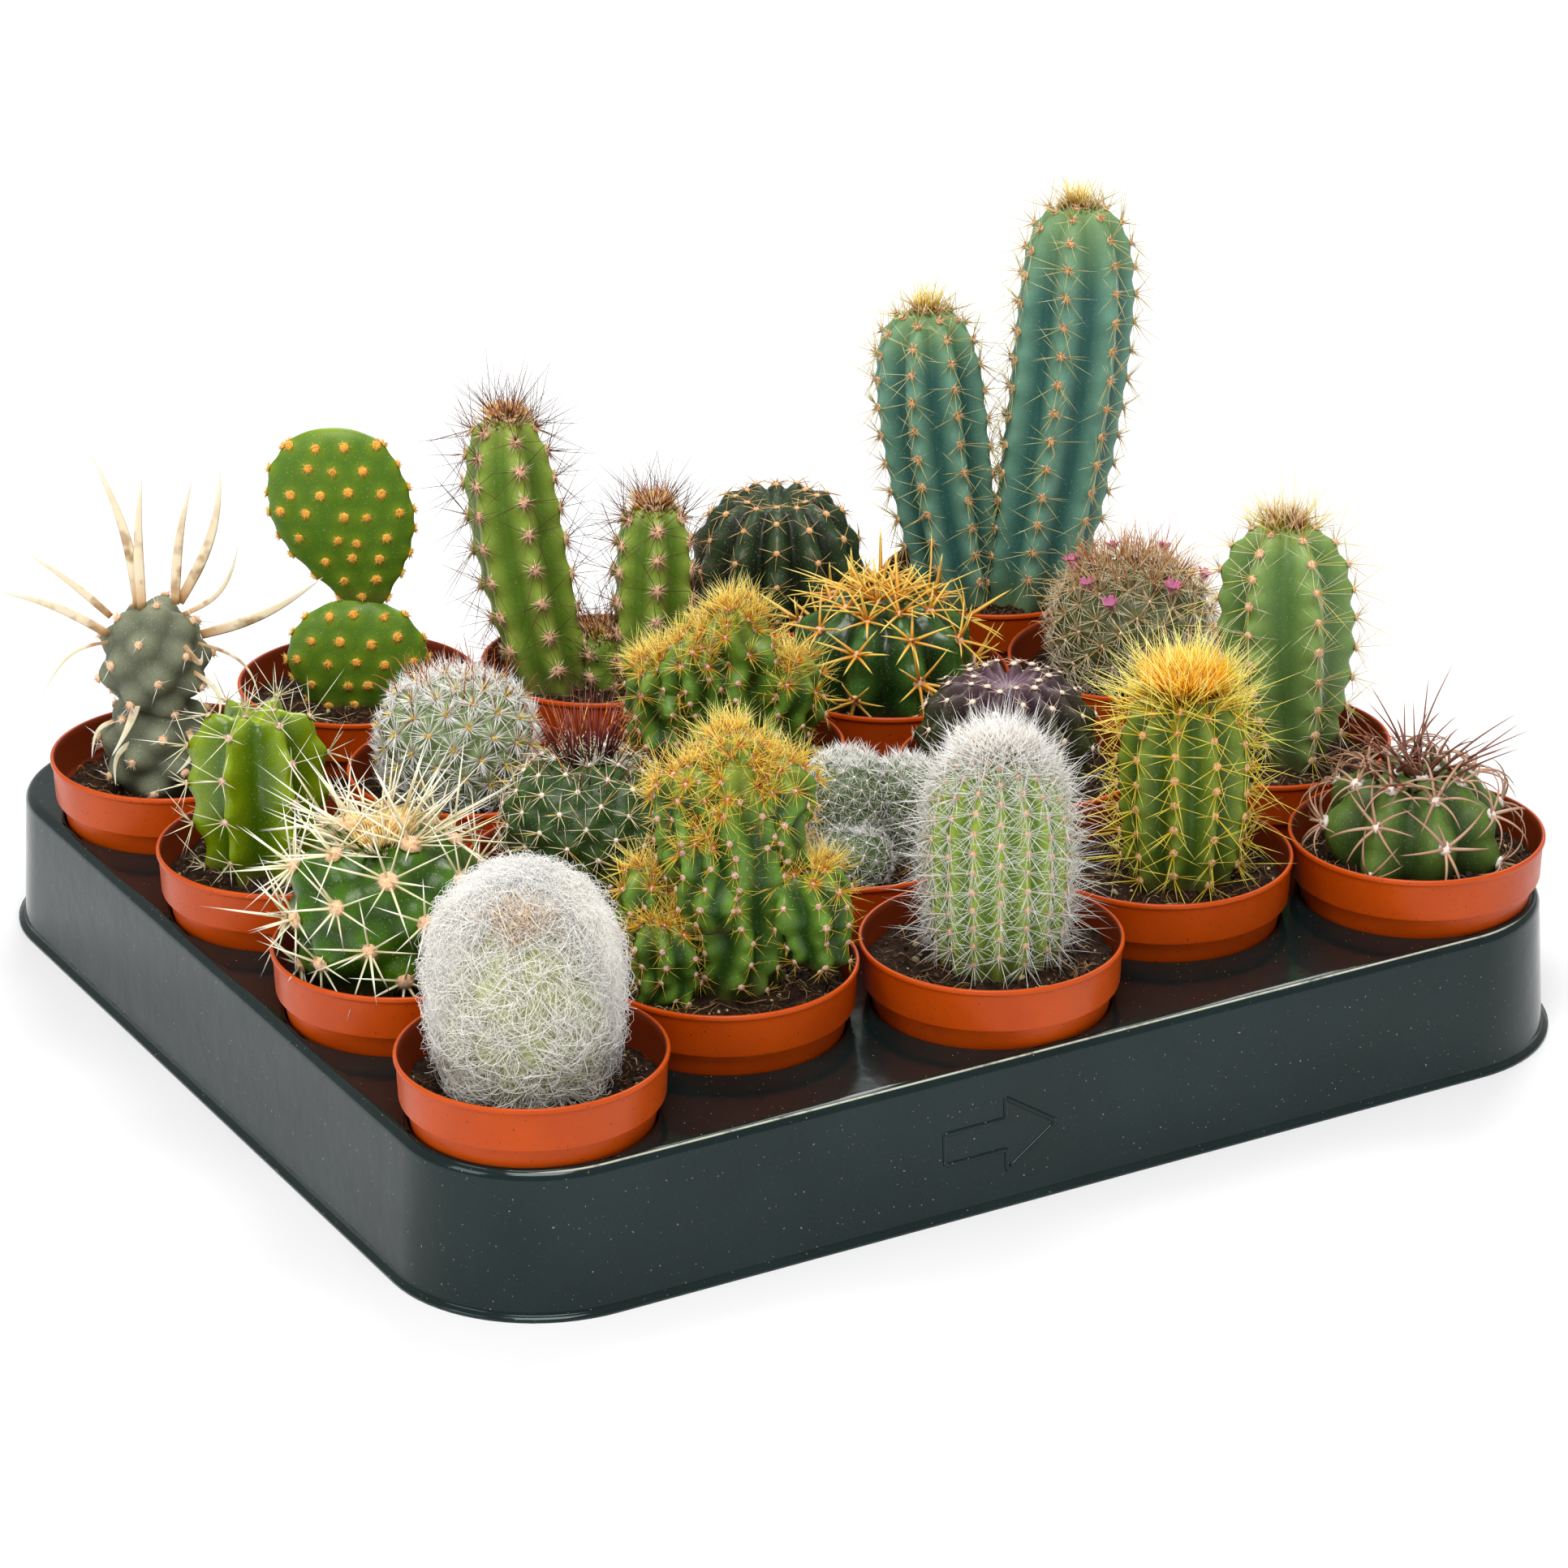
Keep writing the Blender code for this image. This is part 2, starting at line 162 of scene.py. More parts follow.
def noise(tree: NodeTree, size_mm: float, detail: float = 3.0, rough: float = 0.55,
          stretch: tuple = (1, 1, 1)):
    """Noise whose blobs are about size_mm across, on Object coordinates.

    Args:
        tree: the node tree.
        size_mm: the size of one blob.
        detail: octaves of finer noise.
        rough: how strong the finer octaves are.
        stretch: scale along each axis, below one for streaks along it.

    Returns:
        The noise's value socket.
    """
    coords = add(tree, "TexCoord")
    turn = add(tree, "Mapping", {"Scale": stretch}, {"Vector": coords.outputs["Object"]})
    node = add(tree, "TexNoise", {"Scale": 1.0 / (size_mm * MM), "Detail": detail,
                                  "Roughness": rough}, {"Vector": turn.outputs[0]})
    return node.outputs["Fac"]


def ramp(tree: NodeTree, value, low: float, high: float):
    """Stretches a value so that low reads 0 and high reads 1.

    Args:
        tree: the node tree.
        value: the socket to stretch.
        low: the value that becomes 0.
        high: the value that becomes 1.

    Returns:
        The stretched socket, clamped.
    """
    node = add(tree, "MapRange", {"From Min": low, "From Max": high}, {"Value": value})
    return node.outputs[0]


def add_bump(tree: NodeTree, shader: Node, height, depth_mm: float) -> None:
    """Feeds a height pattern to a shader's normal.

    Args:
        tree: the node tree.
        shader: the Principled node.
        height: the pattern's socket, 0 to 1.
        depth_mm: how deep the pattern is.
    """
    node = add(tree, "Bump", {"Strength": 1.0, "Distance": depth_mm * MM}, {"Height": height})
    tree.links.new(node.outputs[0], shader.inputs["Normal"])


# ------------------------------------------------------------------ finishes
@dataclass(frozen=True)
class Flesh:
    """Living cactus skin: waxy, paler on the crests and darker in the grooves as painted shade, corky at the
    foot.
    """

    name: str
    crest: str
    groove: str
    young: str = ""
    young_from: float = 0.82
    foot: str = "5A4A2E"
    roughness: float = 0.45
    coat: float = 0.12
    mottle_mm: float = 3.0

    def make(self) -> Material:
        """Builds the skin material."""
        material, tree, shader = start_material(self.name)
        deep = attribute(tree, "groove")
        rise = attribute(tree, "rise")
        # painted shade: the crest colour turns to the darker groove colour in the rib grooves and between
        # knobs
        colour = blend_colour(tree, ramp(tree, deep, 0.05, 0.9), linear(self.crest), linear(self.groove))
        mottle = ramp(tree, noise(tree, self.mottle_mm), 0.35, 0.7)
        colour = blend_colour(tree, mottle, colour,
                              blend_colour(tree, 0.35, colour, linear(self.groove)))
        young = self.young or self.crest
        colour = blend_colour(tree, ramp(tree, rise, self.young_from, 1.0), colour, linear(young))
        cork = add(tree, "Math", {"operation": "MULTIPLY", 1: 0.8}, {0: ramp(tree, rise, 0.14, 0.0)})
        colour = blend_colour(tree, cork.outputs[0], colour, linear(self.foot))
        fleck = ramp(tree, noise(tree, 0.35, 1.0), 0.66, 0.74)
        pale = blend_colour(tree, 0.35, colour, linear("C9CDA8"))
        colour = blend_colour(tree, fleck, colour, pale)
        settle(tree, shader, colour, {
            "Roughness": self.roughness, "IOR": 1.42, "Specular IOR Level": 0.35,
            "Coat Weight": self.coat, "Coat Roughness": 0.25, "Subsurface Weight": 0.12,
            "Subsurface Radius": (0.5, 1.0, 0.25), "Subsurface Scale": 1.2 * MM})
        add_bump(tree, shader, noise(tree, 0.5, 2.0), 0.05)
        return material


@dataclass(frozen=True)
class Horn:
    """Spine: dry horn-like tissue, one colour at its root and another at its tip."""

    name: str
    root: str
    tip: str
    roughness: float = 0.42
    glow: float = 0.25

    def make(self) -> Material:
        """Builds the spine material."""
        material, tree, shader = start_material(self.name)
        along = attribute(tree, "along")
        tone = attribute(tree, "tone")
        colour = blend_colour(tree, ramp(tree, along, 0.1, 0.9), linear(self.root), linear(self.tip))
        dark = blend_colour(tree, 1.0, colour, (0.82, 0.77, 0.70, 1.0), "MULTIPLY")
        colour = blend_colour(tree, ramp(tree, tone, 0.55, 1.2), colour, dark)
        settle(tree, shader, colour, {
            "Roughness": self.roughness, "IOR": 1.5, "Subsurface Weight": self.glow,
            "Subsurface Radius": (1.0, 0.9, 0.75), "Subsurface Scale": 0.6 * MM})
        return material


@dataclass(frozen=True)
class Felt:
    """Areole wool: short matted felt, two tones."""

    name: str
    light: str
    dark: str

    def make(self) -> Material:
        """Builds the felt material."""
        material, tree, shader = start_material(self.name)
        patch = ramp(tree, noise(tree, 0.5, 3.0), 0.35, 0.65)
        colour = blend_colour(tree, patch, linear(self.light), linear(self.dark))
        settle(tree, shader, colour, {"Roughness": 0.95, "Sheen Weight": 0.4, "Sheen Roughness": 0.6})
        add_bump(tree, shader, noise(tree, 0.25, 2.0), 0.15)
        return material


@dataclass(frozen=True)
class PotPlastic:
    """Injection moulded polypropylene, terracotta orange, satin, with scuffs and dust."""

    name: str = "terracotta_polypropylene"

    def make(self) -> Material:
        """Builds the pot material; the interior faces are darker, as painted shade."""
        material, tree, shader = start_material(self.name)
        inside = attribute(tree, "inside")
        cloud = ramp(tree, noise(tree, 14.0, 2.0), 0.3, 0.7)
        colour = blend_colour(tree, cloud, linear("C44C04"), linear("B84402"))
        # painted shade: the pot's interior faces take a dark red-brown
        colour = blend_colour(tree, inside, colour, linear("70280C"))
        streak = ramp(tree, noise(tree, 1.1, 5.0, 0.75, (1.0, 1.0, 0.35)), 0.66, 0.8)
        scuff = add(tree, "Math", {"operation": "MULTIPLY", 1: 0.22}, {0: streak})
        colour = blend_colour(tree, scuff.outputs[0], colour, linear("E59A6A"))
        speck = ramp(tree, noise(tree, 0.45, 0.0), 0.78, 0.82)
        colour = blend_colour(tree, speck, colour, linear("5A2A18"))
        rough = add(tree, "MapRange", {"To Min": 0.22, "To Max": 0.45},
                    {"Value": noise(tree, 3.0, 4.0)})
        tree.links.new(rough.outputs[0], shader.inputs["Roughness"])
        settle(tree, shader, colour, {
            "IOR": 1.49, "Specular IOR Level": 0.24, "Subsurface Weight": 0.15,
            "Subsurface Radius": (1.0, 0.35, 0.15), "Subsurface Scale": 0.8 * MM})
        add_bump(tree, shader, noise(tree, 5.0, 3.0), 0.06)
        return material


@dataclass(frozen=True)
class TraySheet:
    """Thermoformed polystyrene sheet, glossy black, slightly wavy, with dust and soil specks, and a painted
    highlight along its front top edge.
    """

    name: str = "black_polystyrene_sheet"

    def make(self) -> Material:
        """Builds the tray material."""
        material, tree, shader = start_material(self.name)
        cloud = ramp(tree, noise(tree, 22.0, 3.0), 0.35, 0.7)
        colour = blend_colour(tree, cloud, linear("0A1818"), linear("101F1F"))
        dust = ramp(tree, noise(tree, 0.8, 4.0, 0.7), 0.62, 0.82)
        film = add(tree, "Math", {"operation": "MULTIPLY", 1: 0.10}, {0: dust})
        colour = blend_colour(tree, film.outputs[0], colour, linear("9AA4A6"))
        # painted highlight: a pale, patchy band on the rounding of the tray's front top edge, where the
        # "edge" attribute is high
        edge = attribute(tree, "edge")
        edge_highlight = add(tree, "Math", {"operation": "MULTIPLY"},
                   {0: ramp(tree, edge, 0.5, 0.85), 1: ramp(tree, noise(tree, 4.0, 5.0, 0.7), 0.22, 0.5)})
        colour = blend_colour(tree, edge_highlight.outputs[0], colour, linear("C2C4B4"))
        speck = ramp(tree, noise(tree, 0.5, 0.0), 0.825, 0.85)
        colour = blend_colour(tree, speck, colour, linear("8D8070"))
        rough = add(tree, "MapRange", {"To Min": 0.06, "To Max": 0.2},
                    {"Value": noise(tree, 6.0, 5.0, 0.65)})
        tree.links.new(rough.outputs[0], shader.inputs["Roughness"])
        settle(tree, shader, colour, {
            "IOR": 1.5, "Specular IOR Level": 0.34, "Specular Tint": (0.84, 1.0, 1.0, 1.0)})
        add_bump(tree, shader, noise(tree, 9.0, 2.0), 0.14)
        return material


@dataclass(frozen=True)
class Peat:
    """Potting mix: dark damp peat with lighter crumbs."""

    name: str
    dark: str = "1A110A"
    light: str = "483224"
    crumb: str = "86664A"

    def make(self) -> Material:
        """Builds the potting mix material."""
        material, tree, shader = start_material(self.name)
        patch = ramp(tree, noise(tree, 2.0, 5.0, 0.7), 0.38, 0.68)
        colour = blend_colour(tree, patch, linear(self.dark), linear(self.light))
        crumb = ramp(tree, noise(tree, 0.7, 2.0), 0.64, 0.72)
        colour = blend_colour(tree, crumb, colour, linear(self.crumb))
        settle(tree, shader, colour, {"Roughness": 0.95, "Specular IOR Level": 0.15})
        add_bump(tree, shader, noise(tree, 0.8, 5.0, 0.7), 0.9)
        return material


@dataclass(frozen=True)
class Litter:
    """Grit, bark and root fibres: each crumb takes its own tone from its attribute."""

    name: str
    dark: str
    middle: str
    pale: str

    def make(self) -> Material:
        """Builds the litter material."""
        material, tree, shader = start_material(self.name)
        tone = attribute(tree, "tone")
        colour = blend_colour(tree, ramp(tree, tone, 0.0, 0.6), linear(self.dark), linear(self.middle))
        colour = blend_colour(tree, ramp(tree, tone, 0.8, 0.97), colour, linear(self.pale))
        settle(tree, shader, colour, {"Roughness": 0.85})
        add_bump(tree, shader, noise(tree, 0.3, 2.0), 0.1)
        return material


@dataclass(frozen=True)
class Petal:
    """Petal: thin, soft, pink, paler towards its root."""

    name: str = "pink_petal"

    def make(self) -> Material:
        """Builds the petal material."""
        material, tree, shader = start_material(self.name)
        along = attribute(tree, "along")
        colour = blend_colour(tree, ramp(tree, along, 0.0, 0.8), linear("EBC0CC"), linear("C2508C"))
        settle(tree, shader, colour, {
            "Roughness": 0.5, "Subsurface Weight": 0.4, "Subsurface Scale": 0.8 * MM})
        return material


@dataclass(frozen=True)
class Paper:
    """Papery spine: dry, matt, cream with brown bands across it."""

    name: str = "papery_spine"

    def make(self) -> Material:
        """Builds the papery material."""
        material, tree, shader = start_material(self.name)
        along = attribute(tree, "along")
        band = ramp(tree, noise(tree, 4.5, 2.0, 0.5), 0.5, 0.66)
        fade = add(tree, "Math", {"operation": "MULTIPLY"},
                   {0: band, 1: ramp(tree, along, 0.75, 0.35)})
        colour = blend_colour(tree, ramp(tree, along, 0.0, 0.25), linear("C99B62"), linear("EEE2C4"))
        colour = blend_colour(tree, fade.outputs[0], colour, linear("A98B62"))
        colour = blend_colour(tree, ramp(tree, along, 0.7, 1.0), colour, linear("F7F3E8"))
        settle(tree, shader, colour, {
            "Roughness": 0.7, "Subsurface Weight": 0.3, "Subsurface Scale": 0.6 * MM})
        return material


MADE: dict = {}


def finish_of(recipe) -> Material:
    """Builds a finish once and hands the same material out again.

    Args:
        recipe: one of the finish classes above.

    Returns:
        Its material.
    """
    if recipe not in MADE:
        MADE[recipe] = recipe.make()
    return MADE[recipe]


# ------------------------------------------------------------------ meshes from arrays
class Surface:
    """Vertices, faces and point values gathered as arrays, written out as one mesh."""

    def __init__(self) -> None:
        """Starts empty."""
        self.points: list = []
        self.quads: list = []
        self.tris: list = []
        self.values: dict = {}
        self.count = 0

    def add(self, points: np.ndarray, quads=(), tris=(), **values) -> None:
        """Adds one patch.

        Args:
            points: vertices, one row each.
            quads: rows of four vertex numbers of this patch.
            tris: rows of three vertex numbers of this patch.
            **values: for each attribute, one number for each vertex.
        """
        points = np.asarray(points, float).reshape(-1, 3)
        self.points.append(points)
        for store, rows, width in ((self.quads, quads, 4), (self.tris, tris, 3)):
            if len(rows):
                store.append(np.asarray(rows, int).reshape(-1, width) + self.count)
        for key, value in values.items():
            whole = np.broadcast_to(np.asarray(value, float), (len(points),))
            self.values.setdefault(key, []).append(whole)
        self.count += len(points)

    def mesh(self, name: str) -> Mesh:
        """Writes the arrays to a new mesh.

        Args:
            name: the mesh's name.

        Returns:
            The smooth-shaded mesh.
        """
        points = np.concatenate(self.points).astype(np.float32)
        quads = np.concatenate(self.quads) if self.quads else np.zeros((0, 4), int)
        tris = np.concatenate(self.tris) if self.tris else np.zeros((0, 3), int)
        corners = np.concatenate([quads.ravel(), tris.ravel()]).astype(np.int32)
        starts = np.concatenate([np.arange(len(quads)) * 4,
                                 len(quads) * 4 + np.arange(len(tris)) * 3]).astype(np.int32)
        mesh = bpy.data.meshes.new(name)
        mesh.vertices.add(len(points))
        mesh.vertices.foreach_set("co", points.ravel())
        mesh.loops.add(len(corners))
        mesh.loops.foreach_set("vertex_index", corners)
        mesh.polygons.add(len(starts))
        mesh.polygons.foreach_set("loop_start", starts)
        mesh.update(calc_edges=True)
        mesh.validate()
        for key, parts in self.values.items():
            layer = mesh.attributes.new(key, "FLOAT", "POINT")
            layer.data.foreach_set("value", np.concatenate(parts).astype(np.float32))
        mesh.shade_smooth()
        return mesh


def show(name: str, mesh: Mesh, recipe, slot: str, *nodes: str) -> Object:
    """Links a mesh as a finished piece that rides on the one body.

    Args:
        name: the piece's name.
        mesh: its mesh, in the frame's own place.
        recipe: its finish, one of the finish classes above.
        slot: not used.
        *nodes: the CAD nodes that it stands for.

    Returns:
        The piece.
    """
    mesh.materials.append(finish_of(recipe))
    piece = bpy.data.objects.new(name, mesh)
    bpy.context.scene.collection.objects.link(piece)
    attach(piece, "root")
    if nodes:
        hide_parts(*nodes)
    LOG.info("%s: %d faces", name, len(mesh.polygons))
    return piece


def grid_quads(rows: int, columns: int, closed: bool) -> np.ndarray:
    """Faces of a grid stored row by row; columns run anticlockwise and rows upwards.

    Args:
        rows: how many rows of points.
        columns: how many points in a row.
        closed: whether the last column joins the first.

    Returns:
        One row of four vertex numbers for each face.
    """
    wide = columns if closed else columns - 1
    i, j = np.meshgrid(np.arange(rows - 1), np.arange(wide), indexing="ij")
    k = (j + 1) % columns
    return np.stack([i * columns + j, i * columns + k, (i + 1) * columns + k,
                     (i + 1) * columns + j], -1).reshape(-1, 4)


def fan(first: int, count: int, middle: int, down: bool = False) -> np.ndarray:
    """Triangles between a closed ring of points and its middle.

    Args:
        first: the ring's first vertex number.
        count: points in the ring.
        middle: the middle's vertex number.
        down: whether the faces look down instead of up.

    Returns:
        One row of three vertex numbers for each triangle.
    """
    edge = np.arange(count)
    after = (edge + 1) % count
    left, right = (after, edge) if down else (edge, after)
    return np.stack([first + left, first + right, np.full(count, middle)], -1)


def turns(count: int) -> np.ndarray:
    """Evenly spaced angles round a full turn."""
    return np.arange(count) * TURN / count


def shares(count: int) -> np.ndarray:
    """Evenly spaced shares from 0 to 1, along the middle axis of three."""
    return np.linspace(0, 1, count)[None, :, None]


def swing(angle: np.ndarray, first: np.ndarray, second: np.ndarray) -> np.ndarray:
    """Directions at an angle from one axis towards another."""
    return np.cos(angle)[:, None] * first + np.sin(angle)[:, None] * second


def arcs(t: np.ndarray, root: np.ndarray, size: np.ndarray, way: np.ndarray,
         curve: np.ndarray) -> np.ndarray:
    """Bent lines: root + size (t way + t^2 curve)."""
    return root[:, None, :] + size[:, None, None] * (t * way[:, None, :] + t ** 2 * curve[:, None, :])


def unit(vectors: np.ndarray) -> np.ndarray:
    """Vectors scaled to length one."""
    return vectors / np.maximum(np.linalg.norm(vectors, axis=-1, keepdims=True), 1e-12)


def add_strands(surface: Surface, paths: np.ndarray, radii: np.ndarray, sides: int,
                tone: np.ndarray, across: np.ndarray | None = None, flat: float = 1.0) -> None:
    """Adds many thin tapered tubes that each end in a point.

    A ring of points stands round each path point but the last: the point plus its
    radius times (cos w)A + flat (sin w)B, with A and B square to the path.

    Args:
        surface: where the tubes go.
        paths: n paths of k points, shape (n, k, 3).
        radii: radius at each path point, shape (n, k).
        sides: corners of the section.
        tone: one random number for each tube.
        across: the direction of each tube's width, or None for any.
        flat: thickness over width.
    """
    count, steps = paths.shape[:2]
    along = unit(np.gradient(paths, axis=1))
    if across is None:
        across = np.tile([0.31, 0.52, 0.79], (count, 1))
        first = unit(np.cross(along, across[:, None, :]))
    else:
        first = unit(across[:, None, :] - along * np.sum(along * across[:, None, :], -1)[..., None])
    second = np.cross(along, first)
    turn = turns(sides)
    ring = (np.cos(turn)[:, None] * first[:, :-1, None, :]
            + flat * np.sin(turn)[:, None] * second[:, :-1, None, :])
    rings = paths[:, :-1, None, :] + radii[:, :-1, None, None] * ring
    size = (steps - 1) * sides + 1
    points = np.concatenate([rings.reshape(count, -1, 3), paths[:, -1:, :]], 1)
    start = (np.arange(count) * size)[:, None, None]
    wall = grid_quads(steps - 1, sides, True)[None] + start if steps > 2 else np.zeros((0, 4), int)
    last = (steps - 2) * sides
    edge = np.arange(sides)
    foot = np.stack([np.zeros(sides - 2, int), edge[2:], edge[1:-1]], -1)
    caps = np.concatenate([fan(last, sides, size - 1), foot])[None] + start
    share = np.concatenate([np.repeat(np.linspace(0, 1, steps)[:-1], sides), [1.0]])
    surface.add(points, wall.reshape(-1, 4), caps.reshape(-1, 3),
                along=np.tile(share, count), tone=np.repeat(tone, size))


def dome_template(sides: int = 7, rings: int = 2) -> tuple[np.ndarray, np.ndarray]:
    """A small closed dome of unit radius and height, on the XY plane.

    Args:
        sides: corners round its foot.
        rings: rows of points below its top.

    Returns:
        Its points and its triangles.
    """
    lift = np.arange(rings) * (math.pi / 2) / rings
    turn = turns(sides)
    rows = [np.stack([np.cos(a) * np.cos(turn), np.cos(a) * np.sin(turn),
                      np.full(sides, math.sin(a))], -1) for a in lift]
    points = np.concatenate(rows + [[[0, 0, 1]], [[0, 0, -0.4]]])
    quads = grid_quads(rings, sides, True)
    count = rings * sides
    halves = np.concatenate([quads[:, [0, 1, 2]], quads[:, [0, 2, 3]]])
    return points, np.concatenate([halves, fan(count - sides, sides, count), fan(0, sides, count + 1, True)])


def add_copies(surface: Surface, template: tuple, places: np.ndarray, axes: np.ndarray,
               tone: np.ndarray) -> None:
    """Adds a copy of a small shape at each place.

    Each point is the place plus the template's x, y and z times the three axes there.

    Args:
        surface: where the copies go.
        template: points and triangles of the shape.
        places: one row for each copy.
        axes: three scaled axes for each copy, shape (n, 3, 3).
        tone: one random number for each copy.
    """
    points, tris = template
    count = len(places)
    placed = places[:, None, :] + np.einsum("pk,nkc->npc", points, axes)
    start = (np.arange(count) * len(points))[:, None, None]
    surface.add(placed.reshape(-1, 3), (), (tris[None] + start).reshape(-1, 3),
                tone=np.repeat(tone, len(points)))


def ripple(points: np.ndarray, size_mm: float, seed: int) -> np.ndarray:
    """A smooth pseudo-random height, the mean of six plane waves in random directions.

    Args:
        points: places, shape (..., 3), in metres.
        size_mm: the length of a wave.
        seed: picks the waves.

    Returns:
        Heights between about -1 and 1.
    """
    rng = np.random.default_rng(seed)
    ways = unit(rng.normal(size=(6, 3))) * rng.uniform(0.7, 1.4, (6, 1))
    phase = rng.uniform(0, TURN, 6)
    return np.sin(points @ ways.T * (TURN / (size_mm * MM)) + phase).mean(-1) * 2.0


# ------------------------------------------------------------------ plants: shapes
class Pattern(Enum):
    """How the areoles stand on a body."""

    RIB = "on the crests of the ribs"
    SPIRAL = "in a golden-angle spiral"
    PAD = "in a diagonal grid on both faces of a pad"


@dataclass(frozen=True)
class Form:
    """One stem, globe or pad of a plant, in millimetres.

    side: place along the spread direction; lean: how much further it is at the top.
    foot: radius where it stands; foot_z: height there, or None for the potting mix.
    widest and top: heights above the rim. squareness: 2 is a round dome, more is blunter.
    thin: thickness over width. ribs, depth, crest: number, depth and sharpness of the
    ribs; a crest of 1 is an edge, 2 is round and more is broad with a narrow groove.
    dimple: how deep the crown is sunk; uneven: how far the skin wanders; sway: how far
    the ribs wander sideways, as a share of a rib.
    """

    side: float
    radius: float
    foot: float
    widest: float
    top: float
    lean: float = 0.0
    fore: float = 0.0
    foot_z: float | None = None
    squareness: float = 2.2
    thin: float = 1.0
    ribs: int = 0
    depth: float = 0.0
    crest: float = 2.0
    turn: float = 0.0
    dimple: float = 0.0
    uneven: float = 0.18
    sway: float = 0.0


@dataclass(frozen=True)
class Lattice:
    """The areoles of a body: pattern, distance between them and the bump under each.

    scatter: how far an areole strays from its place, as a share of the distance.
    """

    pattern: Pattern
    spacing: float
    knob: float = 0.0
    knob_width: float = 3.0
    low: float = 0.06
    high: float = 0.985
    scatter: float = 0.0


class Body:
    """A body's surface as a function of the angle about its axis and the way up its outline."""

    TABLE = 240

    def __init__(self, form: Form, lattice: Lattice, centre: Vector, rim_z: float,
                 soil_z: float, seed: int) -> None:
        """Works out the outline and the areoles.

        Args:
            form: the body's sizes.
            lattice: its areoles.
            centre: the middle of the pot.
            rim_z: height of the pot's rim.
            soil_z: height of the potting mix.
            seed: picks the body's small unevenness.
        """
        self.form = form
        self.lattice = lattice
        self.centre = centre
        self.seed = seed
        base = soil_z - SINK if form.foot_z is None else rim_z + form.foot_z * MM
        widest, top = rim_z + form.widest * MM, rim_z + form.top * MM
        part = np.linspace(0, 1, self.TABLE)
        low_z = base + (widest - base) * part
        low_r = (form.foot + (form.radius - form.foot) * np.sin(part * math.pi / 2)) * MM
        power = 2 / form.squareness
        angle = part[1:] * math.pi / 2
        high_z = widest + (top - widest) * np.sin(angle) ** power
        high_r = form.radius * MM * np.maximum(np.cos(angle), 0) ** power
        self.z = np.concatenate([low_z, high_z])
        self.r = np.concatenate([low_r, high_r])
        steps = np.hypot(np.diff(self.z), np.diff(self.r))
        arc = np.concatenate([[0], np.cumsum(steps)])
        self.length = arc[-1]
        self.a = arc / self.length
        self.dz = np.gradient(self.z, arc)
        self.dr = np.gradient(self.r, arc)
        self.angles, self.rises = self.areoles()
        self.knobs = self.base_points(self.angles, self.rises)

    def outline(self, a: np.ndarray) -> tuple[np.ndarray, np.ndarray]:
        """Radius and height at shares a of the outline's length."""
        return np.interp(a, self.a, self.r), np.interp(a, self.a, self.z)

    def on_ribs(self, gap: float) -> tuple[np.ndarray, np.ndarray]:
        """Rows of areoles along each crest that close up towards the crown."""
        steps, at = [0.35 * gap], 0.35 * gap
        while at < self.length:
            at += gap * min(1.0, 0.6 + 0.4 * len(steps) / 5)
            steps.append(at)
        rows, ribs = np.array(steps), max(self.form.ribs, 5)
        angles, rises = [], []
        for rib in range(ribs):
            down = rows + (0.5 * gap if rib % 2 else 0.0)
            rises.append(1 - down / self.length)
            angles.append(np.full(len(rows), self.form.turn + rib * TURN / ribs))
        return np.concatenate(angles), np.concatenate(rises)

    def in_spiral(self, gap: float) -> tuple[np.ndarray, np.ndarray]:
        """Areoles a golden angle apart, each with an equal share of the surface."""
        part = np.linspace(0, 1, 400)
        r, _ = self.outline(part)
        area = np.concatenate([[0], np.cumsum(math.pi * (r[1:] + r[:-1]) * self.length / 399)])
        count = max(6, int(area[-1] / (gap * gap * 0.87)))
        wanted = area[-1] * (1 - (np.arange(count) + 0.5) / count)
        return self.form.turn + np.arange(count) * GOLDEN_ANGLE, np.interp(wanted, area, part)

    def on_pad(self, gap: float) -> tuple[np.ndarray, np.ndarray]:
        """A diagonal grid of areoles on both faces of a pad."""
        angles, rises = [], []
        heights = np.arange(self.z[0] + gap * 0.4, self.z[-1] - gap * 0.15, gap * 0.82)
        for row, z in enumerate(heights):
            a = float(np.interp(z, self.z, self.a))
            r = float(np.interp(a, self.a, self.r))
            across = np.arange(-6, 7) * gap + (0.5 * gap if row % 2 else 0.0)
            across = across[np.abs(across) < r * 0.88]
            side = np.concatenate([np.arccos(across / r), -np.arccos(across / r), [0.0, math.pi]])
            angles.append(side)
            rises.append(np.full(len(side), a))
        return np.concatenate(angles), np.concatenate(rises)

    def areoles(self) -> tuple[np.ndarray, np.ndarray]:
        """Angles and ways up of every areole, each a little away from its place."""
        form, lattice = self.form, self.lattice
        ways = {Pattern.RIB: self.on_ribs, Pattern.SPIRAL: self.in_spiral, Pattern.PAD: self.on_pad}
        gap = lattice.spacing * MM
        angles, rises = ways[lattice.pattern](gap)
        rng = np.random.default_rng(self.seed)
        stray = gap * lattice.scatter * rng.normal(size=(2, len(rises)))
        angles = angles + self.sway(rises) + stray[0] / (0.7 * form.radius * MM)
        rises = rises + stray[1] / self.length
        keep = (rises > lattice.low) & (rises < lattice.high)
        return angles[keep], rises[keep]

    def sway(self, a: np.ndarray) -> np.ndarray:
        """How far the ribs have turned at shares a of the way up: two slow waves."""
        if not self.form.ribs:
            return np.zeros_like(a)
        wave = 0.6 * np.sin(7.0 * a + self.seed) + 0.4 * np.sin(15.0 * a + 2.0 * self.seed)
        return wave * self.form.sway * TURN / self.form.ribs

    def groove(self, theta: np.ndarray, a: np.ndarray) -> np.ndarray:
        """How deep in a groove each place is, from 0 on a crest to 1."""
        form = self.form
        turn = form.turn + self.sway(a)
        return np.abs(np.sin(form.ribs * (theta - turn) / 2)) ** form.crest

